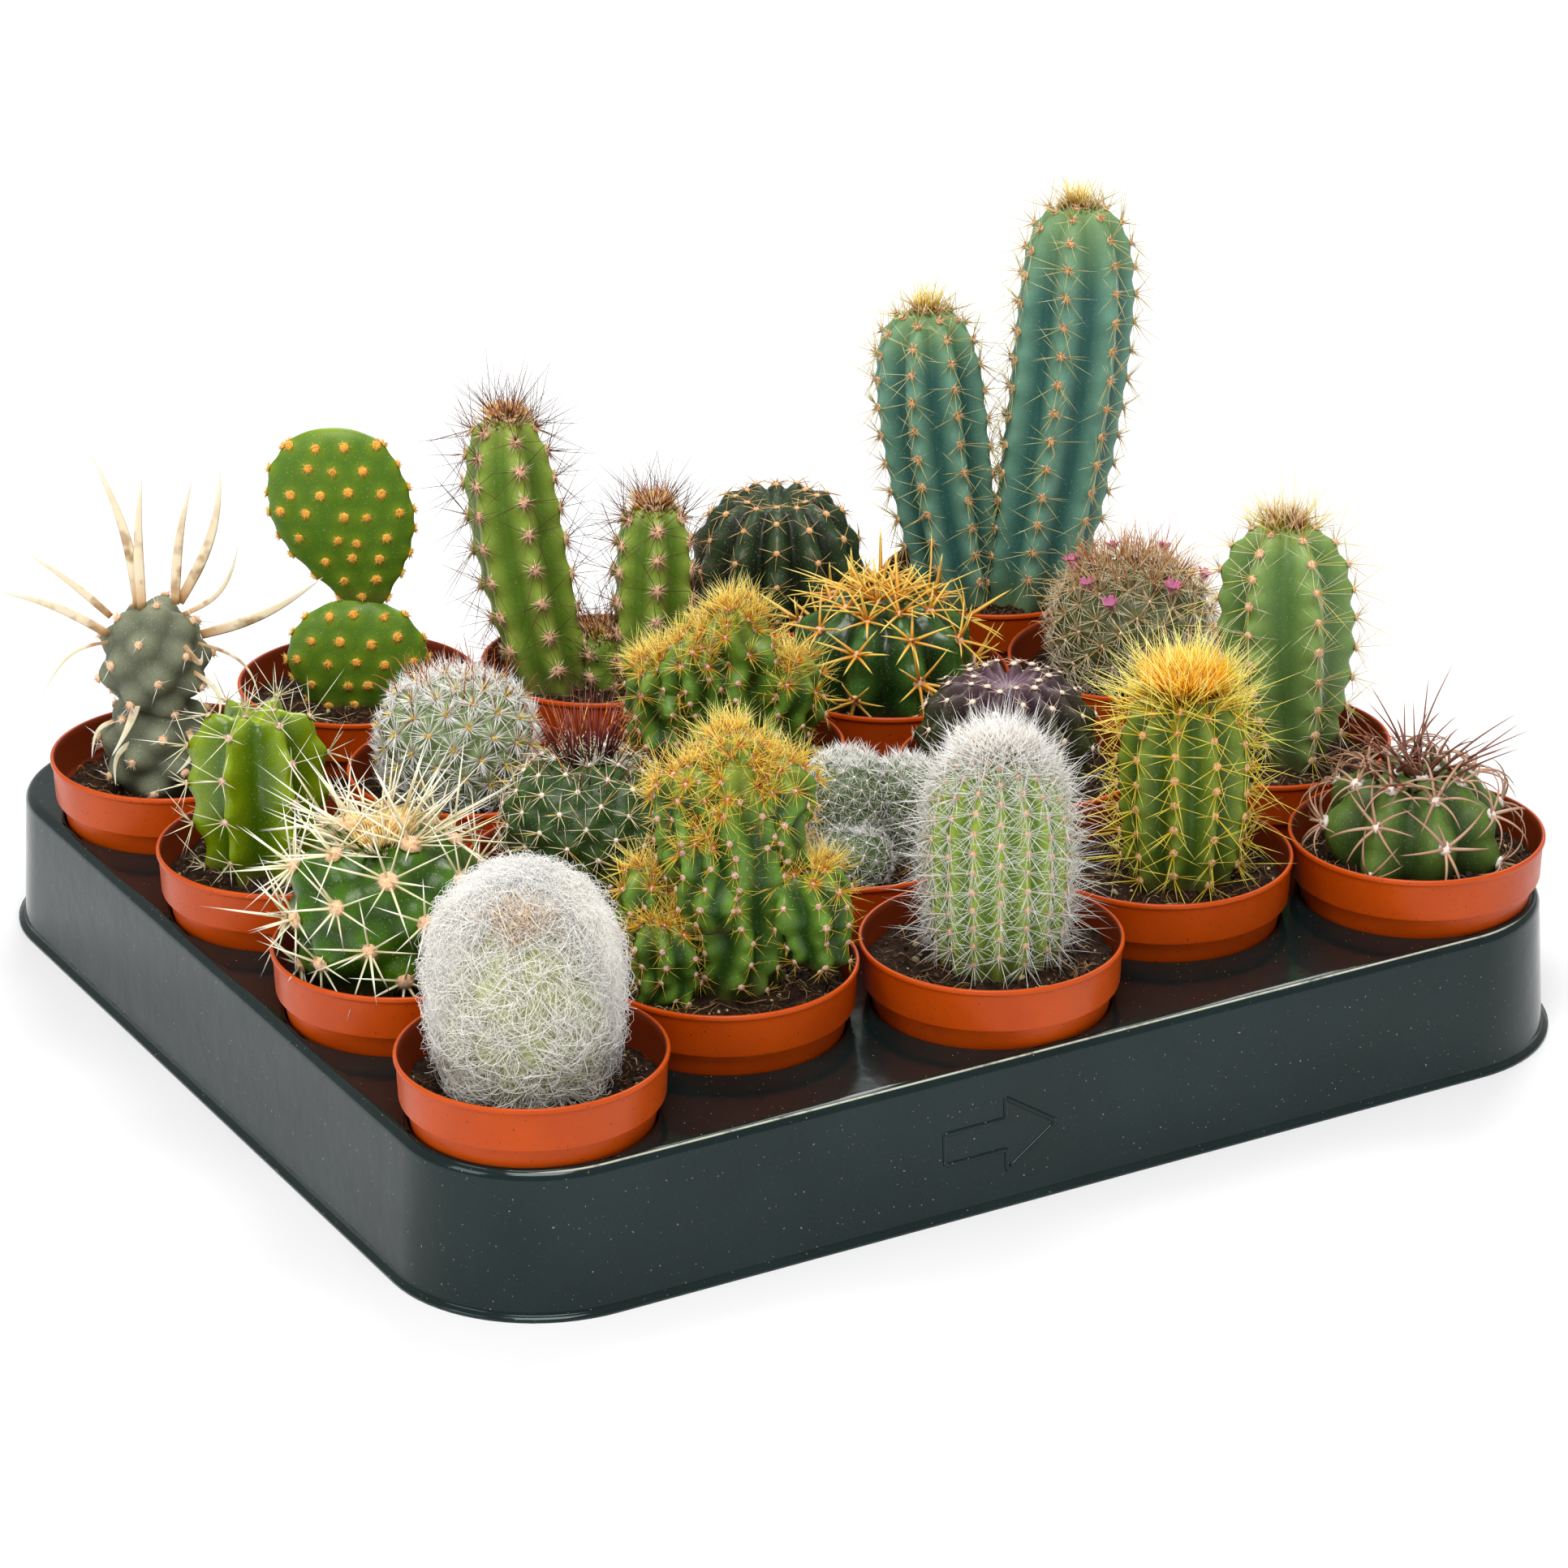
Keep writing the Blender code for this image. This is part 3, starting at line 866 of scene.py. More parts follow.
    def base_points(self, theta: np.ndarray, a: np.ndarray, lift=0.0) -> np.ndarray:
        """Points of the ribbed body before its knobs.

        The radius is the outline's times 1 - depth |sin(ribs w / 2)| ** crest, and lift
        moves a point out along the outline's normal.

        Args:
            theta: angles about the axis.
            a: shares of the way up the outline.
            lift: distance out of the surface, in metres.

        Returns:
            Places in the frame, with a last axis of three.
        """
        form = self.form
        r, z = self.outline(a)
        slope_r, slope_z = np.interp(a, self.a, self.dr), np.interp(a, self.a, self.dz)
        if form.ribs:
            r = r * (1 - form.depth * self.groove(theta, a))
        r = r + lift * slope_z
        z = z - lift * slope_r
        rise = np.clip((z - self.z[0]) / (self.z[-1] - self.z[0]), 0, 1)
        sunk = form.dimple * MM * np.exp(-(r / (0.35 * form.radius * MM)) ** 2)
        z = z - sunk * (rise > 0.5)
        shift = (form.side + form.lean * np.sin(rise * math.pi / 2)) * MM
        x = r * np.cos(theta) + shift
        y = r * np.sin(theta) * form.thin - form.fore * MM
        c, s = math.cos(SPREAD_ANGLE), math.sin(SPREAD_ANGLE)
        return np.stack([self.centre.x + c * x - s * y, self.centre.y + s * x + c * y, z], -1)

    def points(self, theta: np.ndarray, a: np.ndarray) -> tuple[np.ndarray, np.ndarray]:
        """Points of the finished body, and how high on a knob each one is.

        A knob lifts the surface by its height times exp(-(d / width)^2), with d the
        distance to the nearest areole.

        Args:
            theta: angles about the axis.
            a: shares of the way up the outline.

        Returns:
            Places in the frame and the knob share from 0 to 1.
        """
        shape = theta.shape
        theta, a = theta.ravel(), a.ravel()
        flat = self.base_points(theta, a)
        share = np.zeros(len(theta))
        if self.lattice.knob and len(self.knobs):
            for start in range(0, len(flat), 4000):
                part = flat[start:start + 4000]
                gap2 = ((part[:, None, :] - self.knobs[None]) ** 2).sum(-1).min(1)
                share[start:start + 4000] = np.exp(-gap2 / (self.lattice.knob_width * MM) ** 2)
        uneven = ripple(flat, 9.0, self.seed) * self.form.uneven * MM
        lift = share * self.lattice.knob * MM + uneven
        placed = self.base_points(theta, a, lift)
        return placed.reshape(*shape, 3), share.reshape(shape)

    def frames(self, theta: np.ndarray, a: np.ndarray) -> tuple[np.ndarray, np.ndarray, np.ndarray]:
        """Places on the finished surface with their outward and upward directions.

        Args:
            theta: angles about the axis.
            a: shares of the way up the outline.

        Returns:
            Places, outward normals and the way up the surface, from central differences.
        """
        step_t, step_a = 0.02, 0.004
        place = self.points(theta, a)[0]
        east = self.base_points(theta + step_t, a) - self.base_points(theta - step_t, a)
        high, low = np.minimum(a + step_a, 0.9995), np.maximum(a - step_a, 0.0)
        north = self.base_points(theta, high) - self.base_points(theta, low)
        out = unit(np.cross(east, north))
        return place, out, unit(north)

    def add_to(self, surface: Surface, columns: int, rows: int) -> None:
        """Adds the body's skin as a closed grid with a point at each end.

        Args:
            surface: where the skin goes.
            columns: points round the axis.
            rows: rows of points from foot to crown.
        """
        theta = self.form.turn + turns(columns)
        a = np.linspace(0.0, 1.0, rows + 1)[:-1]
        grid_a, grid_t = np.meshgrid(a, theta, indexing="ij")
        skin, share = self.points(grid_t, grid_a)
        foot = skin[0].mean(0)
        crown = self.points(np.array([0.0]), np.array([0.9999]))[0][0]
        # the "groove" attribute sets where the skin gets painted shade: between knobs on knobbly bodies, in
        # the rib grooves on ribbed ones
        groove = 1 - share if self.lattice.knob and not self.form.ribs else np.zeros_like(share)
        if self.form.ribs:
            groove = self.groove(grid_t, grid_a)
        count = rows * columns
        ends = [fan(count - columns, columns, count + 1), fan(0, columns, count, True)]
        surface.add(np.concatenate([skin.reshape(-1, 3), [foot], [crown]]),
                    grid_quads(rows, columns, True), np.concatenate(ends),
                    groove=np.concatenate([groove.ravel(), [0.5, 0.2]]),
                    rise=np.concatenate([grid_a.ravel(), [0.0, 1.0]]))


# ------------------------------------------------------------------ plants: spines and wool
@dataclass(frozen=True)
class Spines:
    """One kind of spine at every areole between two ways up the body.

    tilt: degrees from straight out; bend: how far the tip curves back to the body and
    droop: how far it falls, both as shares of the length; crown: length at the top over
    length at the foot; lift: how much more upright the spines stand at the crown.
    """

    horn: Horn
    count: int
    length: float
    thick: float
    tilt: float = 70.0
    bend: float = 0.0
    droop: float = 0.0
    crown: float = 1.0
    lift: float = 0.5
    low: float = 0.0
    high: float = 1.0
    jitter: float = 0.2
    segments: int = 2
    flat: float = 1.0
    hook: float = 0.0

    def add_to(self, surface: Surface, body: Body, rng: Generator) -> None:
        """Grows the spines of one body.

        A spine's points are its root + L(t d + t^2 (-bend n + droop down)), with t from 0
        to 1, d its direction, n the outward normal there.

        Args:
            surface: where the spines go.
            body: the body that they grow on.
            rng: the plant's own random numbers.
        """
        keep = (body.rises >= self.low) & (body.rises <= self.high)
        if not keep.any() or not self.count:
            return
        theta, a = body.angles[keep], body.rises[keep]
        place, out, up = body.frames(theta, a)
        n = len(theta) * self.count
        place, out, up, a = (np.repeat(v, self.count, axis=0) for v in (place, out, up, a))
        side = np.cross(up, out)
        spin = np.tile(turns(self.count), len(theta))
        spin = spin + rng.normal(0, self.jitter, n) + np.repeat(rng.uniform(0, 6.3, len(theta)), self.count)
        top = np.clip((a - 0.75) / 0.25, 0, 1) ** 2
        tilt = np.radians(self.tilt) * (1 - self.lift * top) * (1 + rng.normal(0, self.jitter * 0.4, n))
        way = swing(tilt, out, swing(spin, up, side))
        size = self.length * MM * (1 + (self.crown - 1) * np.clip(a, 0, 1) ** 3)
        size = size * np.clip(1 + rng.normal(0, self.jitter * 0.7, n), 0.45, 1.5)
        t = shares(self.segments + 1)
        curve = -self.bend * out + np.array([0, 0, -self.droop])
        paths = arcs(t, place, size, way, curve)
        if self.hook:
            crook = np.clip((t - 0.75) / 0.25, 0, 1) ** 1.5
            paths = paths - crook * (self.hook * size)[:, None, None] * (way * 0.8 + up * 0.5)[:, None, :]
        radii = self.thick * MM / 2 * (1 - 0.8 * t[..., 0] ** 1.4) * np.ones((n, 1))
        across = np.cross(way, out) if self.flat < 1 else None
        add_strands(surface, paths, radii, 4 if self.flat < 1 else 3, rng.random(n), across, self.flat)


@dataclass(frozen=True)
class Cushion:
    """The felt of every areole: a small dome and the short hairs that stand out of it."""

    felt: Felt
    radius: float
    height: float
    hairs: int = 0
    hair: float = 1.0
    crown: float = 1.0
    hair_thick: float = 0.12

    def add_to(self, domes: Surface, fuzz: Surface, body: Body, rng: Generator) -> None:
        """Adds the cushions of one body.

        Args:
            domes: where the domes go.
            fuzz: where the hairs go.
            body: the body that they grow on.
            rng: the plant's own random numbers.
        """
        place, out, up = body.frames(body.angles, body.rises)
        n = len(place)
        wide = self.radius * MM * (1 + (self.crown - 1) * body.rises ** 6) * rng.uniform(0.85, 1.15, n)
        side = np.cross(up, out)
        axes = np.stack([side * wide[:, None], up * wide[:, None],
                         out * (wide * self.height / self.radius)[:, None]], 1)
        axes[:, 0] *= -1
        add_copies(domes, dome_template(), place, axes, rng.random(n))
        if self.hairs:
            root = np.repeat(place, self.hairs, axis=0)
            spread = np.repeat(wide, self.hairs)[:, None]
            n_out, n_up, n_side = (np.repeat(v, self.hairs, axis=0) for v in (out, up, side))
            m = len(root)
            spin, reach = rng.uniform(0, TURN, m), np.sqrt(rng.random(m))
            flat = swing(spin, n_up, n_side)
            start = root + flat * spread * (reach * 0.8)[:, None]
            way = unit(n_out * 0.9 + flat * reach[:, None] * 1.4 + rng.normal(0, 0.2, (m, 3)))
            size = self.hair * MM * rng.uniform(0.6, 1.3, m)
            paths = np.stack([start, start + way * size[:, None]], 1)
            add_strands(fuzz, paths, np.full((m, 2), self.hair_thick * MM / 2), 3, rng.random(m))


@dataclass(frozen=True)
class Tuft:
    """A dense brush of spines on the crown, in millimetres.

    ring: how much of its middle stays bare, as a share of its spread.
    """

    horn: Horn
    count: int
    length: float
    spread: float
    thick: float
    fan: float = 0.8
    bend: float = 0.0
    steps: int = 3
    ring: float = 0.0

    def add_to(self, surface: Surface, body: Body, rng: Generator) -> None:
        """Adds the brush to one body.

        Args:
            surface: where the spines go.
            body: the body that carries the brush.
            rng: the plant's own random numbers.
        """
        spin = rng.uniform(0, TURN, self.count)
        reach = np.sqrt(self.ring ** 2 + (1 - self.ring ** 2) * rng.random(self.count))
        r = np.maximum(reach * self.spread * MM, 0.0001)
        crown = body.points(np.array([0.0]), np.array([0.9999]))[0][0]
        upper = body.a > 0.5
        a = np.interp(-r, -body.r[upper], body.a[upper])
        place, out, up = body.frames(spin, np.clip(a, 0.5, 0.999))
        outward = unit((place - crown) * np.array([1, 1, 0]) + 1e-9)
        way = unit(np.array([0, 0, 1.0]) + outward * (self.fan * reach)[:, None]
                   + rng.normal(0, 0.16, (self.count, 3)))
        size = self.length * MM * rng.uniform(0.65, 1.15, self.count)
        t = shares(self.steps)
        curve = unit(rng.normal(0, 0.5, (self.count, 3)) + outward) * self.bend
        paths = arcs(t, place, size, way, curve)
        radii = self.thick * MM / 2 * (1 - 0.85 * t[..., 0]) * np.ones((self.count, 1))
        add_strands(surface, paths, radii, 3, rng.random(self.count))


@dataclass(frozen=True)
class Species:
    """A plant: its pot, its forms and everything that grows on them."""

    name: str
    flesh: Flesh
    lattice: Lattice
    forms: tuple
    spines: tuple = ()
    cushion: Cushion | None = None
    tufts: tuple = ()
    seed: int = 1


# ------------------------------------------------------------------ plants: colours
WHITE = Horn("white_spine", "F7F5EE", "FFFFFF", glow=0.4)
CREAM = Horn("cream_spine", "FBEFBE", "FFFDEA", glow=0.4)
SILVER = Horn("silver_spine", "F4F0E6", "FFFFFF", glow=0.4)
YELLOW = Horn("yellow_spine", "F8CC1C", "FFF268", glow=0.45)
GOLD = Horn("golden_spine", "F8A616", "FFEE4E", glow=0.4)
CORE_GOLD = Horn("core_gold_spine", "E07C00", "FAAA00", glow=0.25)
AMBER = Horn("amber_spine", "E09A2A", "FFE070", glow=0.35)
RUST = Horn("rust_spine", "8C3220", "C86A34", glow=0.2)
DARK_RED = Horn("dark_red_spine", "4A1218", "84302C", glow=0.1)
CHIN_SPINE = Horn("chin_spine", "C49C82", "A07860", glow=0.15)
CHIN_CROWN = Horn("chin_crown_spine", "5E2C1C", "8E583E", glow=0.1)
TAN = Horn("tan_spine", "E6CFA0", "FBEFD0", glow=0.3)
HONEY = Horn("honey_spine", "B07A44", "E2B878", glow=0.3)
BROWN = Horn("brown_spine", "6E4226", "3E2418", glow=0.05)
BLUSH = Horn("blush_spine", "D2A288", "E6C8B2", glow=0.25)
LIME_SPINE = Horn("pale_yellow_spine", "EFE6AE", "FFFCE0", glow=0.4)
GREEN_GOLD = Horn("green_gold_spine", "C4A650", "EDE59A", glow=0.3)
HAIR = Horn("white_hair", "FAF8F2", "FFFFFF", roughness=0.6, glow=0.5)
PEACH_HAIR = Horn("peach_hair", "F2C596", "FBE6C6", roughness=0.7, glow=0.45)
APRICOT_HAIR = Horn("apricot_hair", "F0B040", "FFDF80", roughness=0.7, glow=0.4)
ORANGE_HAIR = Horn("orange_hair", "F29A1C", "FFCC48", roughness=0.7, glow=0.3)
TAN_HAIR = Horn("tan_hair", "E4AE80", "F8D8B6", roughness=0.7, glow=0.4)

PEACH = Felt("peach_felt", "F3D0A8", "E2A878")
PALE = Felt("pale_felt", "EFE3D2", "D8C3A8")
WHITE_FELT = Felt("white_felt", "F7F3EC", "E6DED2")
ORANGE = Felt("orange_felt", "FFC23C", "EE9E20")
TAN_FELT = Felt("tan_felt", "F0C488", "D69A5C")
BLUSH_FELT = Felt("blush_felt", "EBCDBE", "C99A84")
GOLD_FELT = Felt("gold_felt", "F0CE6A", "D8A03A")

RIB, SPIRAL, PAD = Pattern.RIB, Pattern.SPIRAL, Pattern.PAD

MONSTROSE = dict(
    flesh=Flesh("monstrose_skin", "668E2E", "25460F", young="8E9E36", young_from=0.7, roughness=0.42),
    lattice=Lattice(RIB, 4.2, 1.5, 2.3, low=0.03, scatter=0.16),
    cushion=Cushion(BLUSH_FELT, 0.75, 0.5, hairs=7, hair=0.8),
    spines=(Spines(GOLD, 7, 3.8, 0.16, tilt=60, jitter=0.35),
            Spines(GOLD, 18, 6.4, 0.2, tilt=52, low=0.68, jitter=0.45),
            Spines(ORANGE_HAIR, 20, 2.6, 0.22, tilt=55, low=0.74, jitter=0.45),
            Spines(RUST, 2, 4.4, 0.15, tilt=30, low=0.3, jitter=0.5)),
    tufts=(Tuft(GOLD, 130, 6.4, 5.5, 0.2, fan=1.7), Tuft(ORANGE_HAIR, 90, 3.0, 4.5, 0.22, fan=1.4)),
)
LUMP = dict(ribs=7, depth=0.15, crest=2.2, uneven=1.3, sway=0.3)

PLANTS = (
    Species("golden_monstrose_front", forms=(
        Form(2.0, 10.2, 7.6, 22.0, 44.0, squareness=2.4, turn=0.3, **LUMP),
        Form(-6.5, 7.2, 4.0, 33.0, 41.5, foot_z=18.0, turn=0.9, **LUMP),
        Form(1.5, 7.6, 4.0, 37.5, 47.2, foot_z=24.0, fore=-2.0, turn=0.5, **LUMP),
        Form(10.5, 6.8, 4.0, 33.5, 42.5, foot_z=20.0, turn=0.7, **LUMP),
        Form(-3.0, 6.4, 4.0, 22.0, 31.0, foot_z=10.0, fore=5.0, turn=0.2, **LUMP),
        Form(-15.5, 5.4, 3.0, 12.0, 17.5, foot_z=4.0, turn=0.4, **LUMP),
        Form(-11.5, 6.4, 4.0, 3.0, 9.5, fore=5.0, turn=0.1, **LUMP),
        Form(17.2, 8.2, 4.5, 11.4, 20.5, foot_z=0.0, fore=1.0, turn=0.5, **LUMP)), seed=2, **MONSTROSE),
    Species("golden_monstrose_back", forms=(
        Form(3.0, 9.6, 8.0, 17.0, 31.0, squareness=2.4, turn=0.3, **LUMP),
        Form(-4.5, 7.0, 4.0, 16.0, 25.5, foot_z=4.0, fore=4.0, turn=0.8, **LUMP),
        Form(-12.5, 8.0, 4.0, 12.0, 19.5, turn=0.6, **LUMP),
        Form(13.8, 7.2, 4.0, 11.0, 18.5, turn=0.1, **LUMP)), seed=3, **MONSTROSE),
    Species("silver_torch", Flesh("torch_skin", "A0BC3C", "64842A", young="BCCB68", roughness=0.5, coat=0.05),
            Lattice(RIB, 4.2, 0.5, 1.4),
            (Form(1.2, 14.2, 12.6, 20.0, 41.5, squareness=2.5, ribs=16, depth=0.12),),
            (Spines(SILVER, 18, 6.4, 0.17, tilt=68, jitter=0.32, crown=1.15),
             Spines(SILVER, 3, 8.4, 0.19, tilt=25, jitter=0.5),
             Spines(SILVER, 16, 6.0, 0.18, tilt=55, low=0.72, jitter=0.4)),
            Cushion(PEACH, 0.8, 0.5, hairs=3, hair=0.8),
            (Tuft(SILVER, 520, 5.5, 9.5, 0.24, fan=2.4),
             Tuft(PEACH_HAIR, 240, 4.8, 4.5, 0.24, fan=1.0)), seed=4),
    Species("yellow_needle", Flesh("needle_skin", "7E9430", "3E5A16", young="A89A30", coat=0.08),
            Lattice(RIB, 5.6, 0.9, 1.9),
            (Form(4.0, 13.6, 11.2, 22.0, 36.6, squareness=2.4, ribs=10, depth=0.2, crest=1.7, turn=0.1),),
            (Spines(YELLOW, 7, 8.0, 0.26, tilt=66, jitter=0.35, crown=1.4),
             Spines(YELLOW, 2, 11.5, 0.3, tilt=32, jitter=0.5, crown=1.3),
             Spines(YELLOW, 9, 12.5, 0.3, tilt=46, low=0.74, jitter=0.4)),
            Cushion(TAN_FELT, 1.0, 0.6, hairs=8, hair=1.0),
            (Tuft(YELLOW, 170, 13.5, 9.5, 0.3, fan=2.0, ring=0.5), Tuft(YELLOW, 34, 15.0, 6.0, 0.3, fan=1.3),
             Tuft(CORE_GOLD, 1100, 8.6, 6.4, 0.4, fan=0.75)), seed=5),
    Species("chin", Flesh("chin_skin", "5E7A30", "32481C", young="60782E", roughness=0.5, coat=0.05),
            Lattice(RIB, 11.5, 3.0, 5.4, low=0.12, high=0.95),
            (Form(-1.0, 17.6, 15.5, -1.6, 12.0, ribs=8, depth=0.16, crest=2.4, turn=0.25, dimple=2.0),),
            (Spines(CHIN_SPINE, 7, 14.5, 0.85, tilt=48, bend=0.62, segments=8, lift=0.2, flat=0.7,
                    high=0.8),
             Spines(CHIN_CROWN, 6, 14.0, 0.85, tilt=42, bend=0.4, jitter=0.45, segments=8, low=0.7,
                    flat=0.7, lift=0.3)),
            Cushion(WHITE_FELT, 1.6, 1.0, hairs=26, hair=1.3),
            (Tuft(CHIN_CROWN, 36, 13.0, 9.0, 0.9, fan=1.0, bend=0.9, steps=9),), seed=6),
    Species("golden_barrel", Flesh("barrel_skin", "477600", "183400", young="4E7C10", roughness=0.28,
                                   coat=0.16),
            Lattice(SPIRAL, 10.4, 3.2, 5.0, low=0.1),
            (Form(-3.5, 17.6, 12.5, 10.0, 23.5, turn=0.6, dimple=1.5),),
            (Spines(CREAM, 7, 13.0, 0.72, tilt=72, crown=1.5),
             Spines(CREAM, 2, 15.0, 0.78, tilt=30, jitter=0.4, low=0.3, crown=1.3)),
            Cushion(PEACH, 2.0, 1.2, hairs=60, hair=1.5, crown=1.9),
            (Tuft(CREAM, 46, 21.0, 9.5, 0.8, fan=1.9, ring=0.4),
             Tuft(APRICOT_HAIR, 420, 3.4, 5.5, 0.5),
             Tuft(PEACH_HAIR, 320, 3.2, 9.0, 0.34, fan=1.2)), seed=7),
    Species("red_crown", Flesh("crown_skin", "3A5C22", "1C3212", roughness=0.42),
            Lattice(SPIRAL, 5.8, 2.0, 2.7),
            (Form(-1.0, 16.6, 13.5, 7.5, 22.6, dimple=1.5),),
            (Spines(TAN, 9, 4.8, 0.26, tilt=78),
             Spines(AMBER, 1, 8.0, 0.3, tilt=35, jitter=0.8, low=0.3),
             Spines(WHITE, 9, 4.4, 0.26, tilt=65, low=0.8, jitter=0.4)),
            Cushion(WHITE_FELT, 0.65, 0.5, hairs=6, hair=0.8, crown=1.9),
            (Tuft(DARK_RED, 70, 16.0, 5.0, 0.42, fan=0.5), Tuft(WHITE, 90, 3.0, 7.0, 0.26, fan=1.6),
             Tuft(RUST, 60, 12.0, 11.0, 0.34, fan=1.2)), seed=8),
    Species("powder_puff", Flesh("puff_skin", "5A6E3E", "384A24"),
            Lattice(SPIRAL, 2.7, 0.7, 1.4, low=0.02),
            (Form(-1.0, 9.2, 7.5, 9.0, 18.2, dimple=2.2),
             Form(11.5, 6.2, 4.0, 11.0, 16.6, dimple=1.2),
             Form(1.0, 6.9, 5.0, -0.5, 5.7, fore=11.0, dimple=1.5),
             Form(-11.5, 5.9, 4.0, 5.0, 10.3, dimple=1.2)),
            (Spines(WHITE, 18, 2.6, 0.12, tilt=76, jitter=0.3, lift=0.3),
             Spines(WHITE, 22, 3.0, 0.17, tilt=55, jitter=0.4, low=0.78, high=0.95)),
            Cushion(WHITE_FELT, 0.3, 0.3), seed=9),
    Species("purple_globe", Flesh("purple_skin", "3A4222", "120E0C", young="66465A", young_from=0.45,
                                  roughness=0.38, coat=0.2),
            Lattice(RIB, 8.4, 1.3, 2.4, high=0.9),
            (Form(-3.3, 19.0, 15.0, 4.4, 20.0, ribs=14, depth=0.36, crest=1.4, dimple=3.0),),
            (Spines(BLUSH, 5, 2.8, 0.24, tilt=74, lift=0.1),),
            Cushion(PALE, 0.75, 0.4, hairs=5, hair=0.7, crown=1.5), seed=10),
    Species("apple_column", Flesh("apple_skin", "82A256", "52743A", young="94A85A"),
            Lattice(RIB, 7.0, 1.3, 2.6),
            (Form(6.2, 14.0, 6.4, 28.5, 49.6, lean=-3.2, squareness=2.6, ribs=6, depth=0.26, crest=1.9,
                  turn=-1.17),),
            (Spines(TAN, 10, 7.6, 0.18, tilt=68, jitter=0.35, crown=1.3),
             Spines(YELLOW, 3, 12.0, 0.19, tilt=35, jitter=0.6)),
            Cushion(PEACH, 1.1, 0.6, hairs=14, hair=1.1),
            (Tuft(YELLOW, 70, 11.0, 6.0, 0.22, fan=1.5), Tuft(HONEY, 130, 6.0, 4.5, 0.26),
             Tuft(RUST, 60, 4.0, 4.0, 0.28)), seed=11),
    Species("lime_column", Flesh("lime_skin", "88A000", "446200", young="9CAE14", roughness=0.26, coat=0.28),
            Lattice(RIB, 11.0, 1.6, 2.8, high=0.93),
            (Form(-5.2, 13.6, 10.0, 17.0, 30.8, squareness=2.6, ribs=6, depth=0.4, crest=1.0, turn=0.1,
                  dimple=4.0),),
            (Spines(LIME_SPINE, 6, 7.2, 0.32, tilt=62, jitter=0.3, crown=1.2),
             Spines(LIME_SPINE, 1, 9.0, 0.36, tilt=20, jitter=0.8)),
            Cushion(BLUSH_FELT, 0.85, 0.5, hairs=12, hair=0.8), seed=12),
    Species("snowball", Flesh("snowball_skin", "90A468", "5C7240"),
            Lattice(SPIRAL, 5.4, 2.0, 2.6, low=0.02),
            (Form(-3.0, 15.0, 12.0, 6.5, 18.0),),
            (Spines(HAIR, 34, 5.2, 0.3, tilt=72, jitter=0.25, lift=0.3),
             Spines(RUST, 2, 8.5, 0.3, tilt=35, jitter=0.5, low=0.6, segments=7, hook=0.3),
             Spines(YELLOW, 5, 2.4, 0.32, tilt=30, jitter=0.5, low=0.2)),
            Cushion(GOLD_FELT, 0.6, 0.5, hairs=6, hair=0.8),
            (Tuft(HAIR, 360, 5.5, 12.0, 0.26, fan=0.9),
             Tuft(RUST, 30, 10.0, 10.0, 0.32, bend=-0.4, steps=7)), seed=13),
    Species("amber_barrel", Flesh("amber_skin", "3E6A2A", "183410", roughness=0.26, coat=0.4),
            Lattice(RIB, 11.0, 1.8, 4.2, high=0.93),
            (Form(-1.5, 19.6, 16.0, 4.5, 17.0, ribs=9, depth=0.2, crest=2.2, turn=0.2),),
            (Spines(AMBER, 7, 10.5, 0.95, tilt=62, jitter=0.25, flat=0.6, bend=0.15, segments=4, crown=1.15),
             Spines(AMBER, 1, 12.0, 1.1, tilt=25, jitter=0.8, flat=0.6, bend=0.2, segments=4)),
            Cushion(PEACH, 1.4, 0.7, hairs=14, hair=1.0),
            (Tuft(AMBER, 16, 13.0, 9.0, 1.0, fan=2.6, bend=0.45, steps=6),), seed=14),
    Species("pink_crown", Flesh("pincushion_skin", "5E6430", "364022"),
            Lattice(SPIRAL, 5.2, 1.6, 2.4, low=0.02),
            (Form(1.0, 17.0, 14.0, 6.5, 20.4),),
            (Spines(TAN, 20, 5.6, 0.19, tilt=74, jitter=0.3),
             Spines(HONEY, 4, 8.5, 0.28, tilt=38, jitter=0.5, low=0.4, segments=7, hook=0.3)),
            Cushion(PALE, 0.5, 0.4, hairs=5, hair=0.8),
            (Tuft(RUST, 110, 10.0, 12.0, 0.3, fan=0.9, bend=-0.3, steps=6),
             Tuft(HONEY, 260, 7.5, 13.0, 0.26, fan=1.2, bend=-0.3, steps=5)), seed=15),
    Species("bunny_ear", Flesh("pad_skin", "7A9418", "52781A", young="86A024", coat=0.08),
            Lattice(PAD, 6.3, 0.5, 2.2, low=0.03, scatter=0.09),
            (Form(0.0, 15.6, 9.0, 5.5, 19.5, thin=0.34, squareness=1.9),
             Form(2.4, 15.9, 3.0, 41.0, 60.5, lean=-6.4, foot_z=17.5, thin=0.26)),
            (Spines(ORANGE_HAIR, 20, 1.3, 0.2, tilt=60, jitter=0.6, lift=0.0),),
            Cushion(ORANGE, 1.1, 0.35, hairs=34, hair=1.0, hair_thick=0.18), seed=16),
    Species("twin_green_column", Flesh("twin_skin", "98B048", "5A7C22", young="9AA640", coat=0.15),
            Lattice(RIB, 8.4, 0.8, 2.8),
            (Form(-10.7, 10.4, 8.5, 30.0, 59.0, lean=-9.6, squareness=2.8, ribs=6, depth=0.2, crest=1.9,
                  turn=-1.25),
             Form(10.8, 8.9, 6.5, 18.0, 37.5, lean=2.0, squareness=2.8, ribs=6, depth=0.2, crest=1.9,
                  turn=-1.45),
             Form(0.5, 4.6, 4.0, 2.0, 7.0, turn=0.4)),
            (Spines(BROWN, 8, 11.5, 0.2, tilt=60, jitter=0.4, crown=1.25),
             Spines(TAN_HAIR, 18, 3.0, 0.34, tilt=80),
             Spines(BROWN, 5, 9.5, 0.2, tilt=35, jitter=0.6, low=0.8)),
            Cushion(PEACH, 1.5, 0.5, hairs=24, hair=1.1),
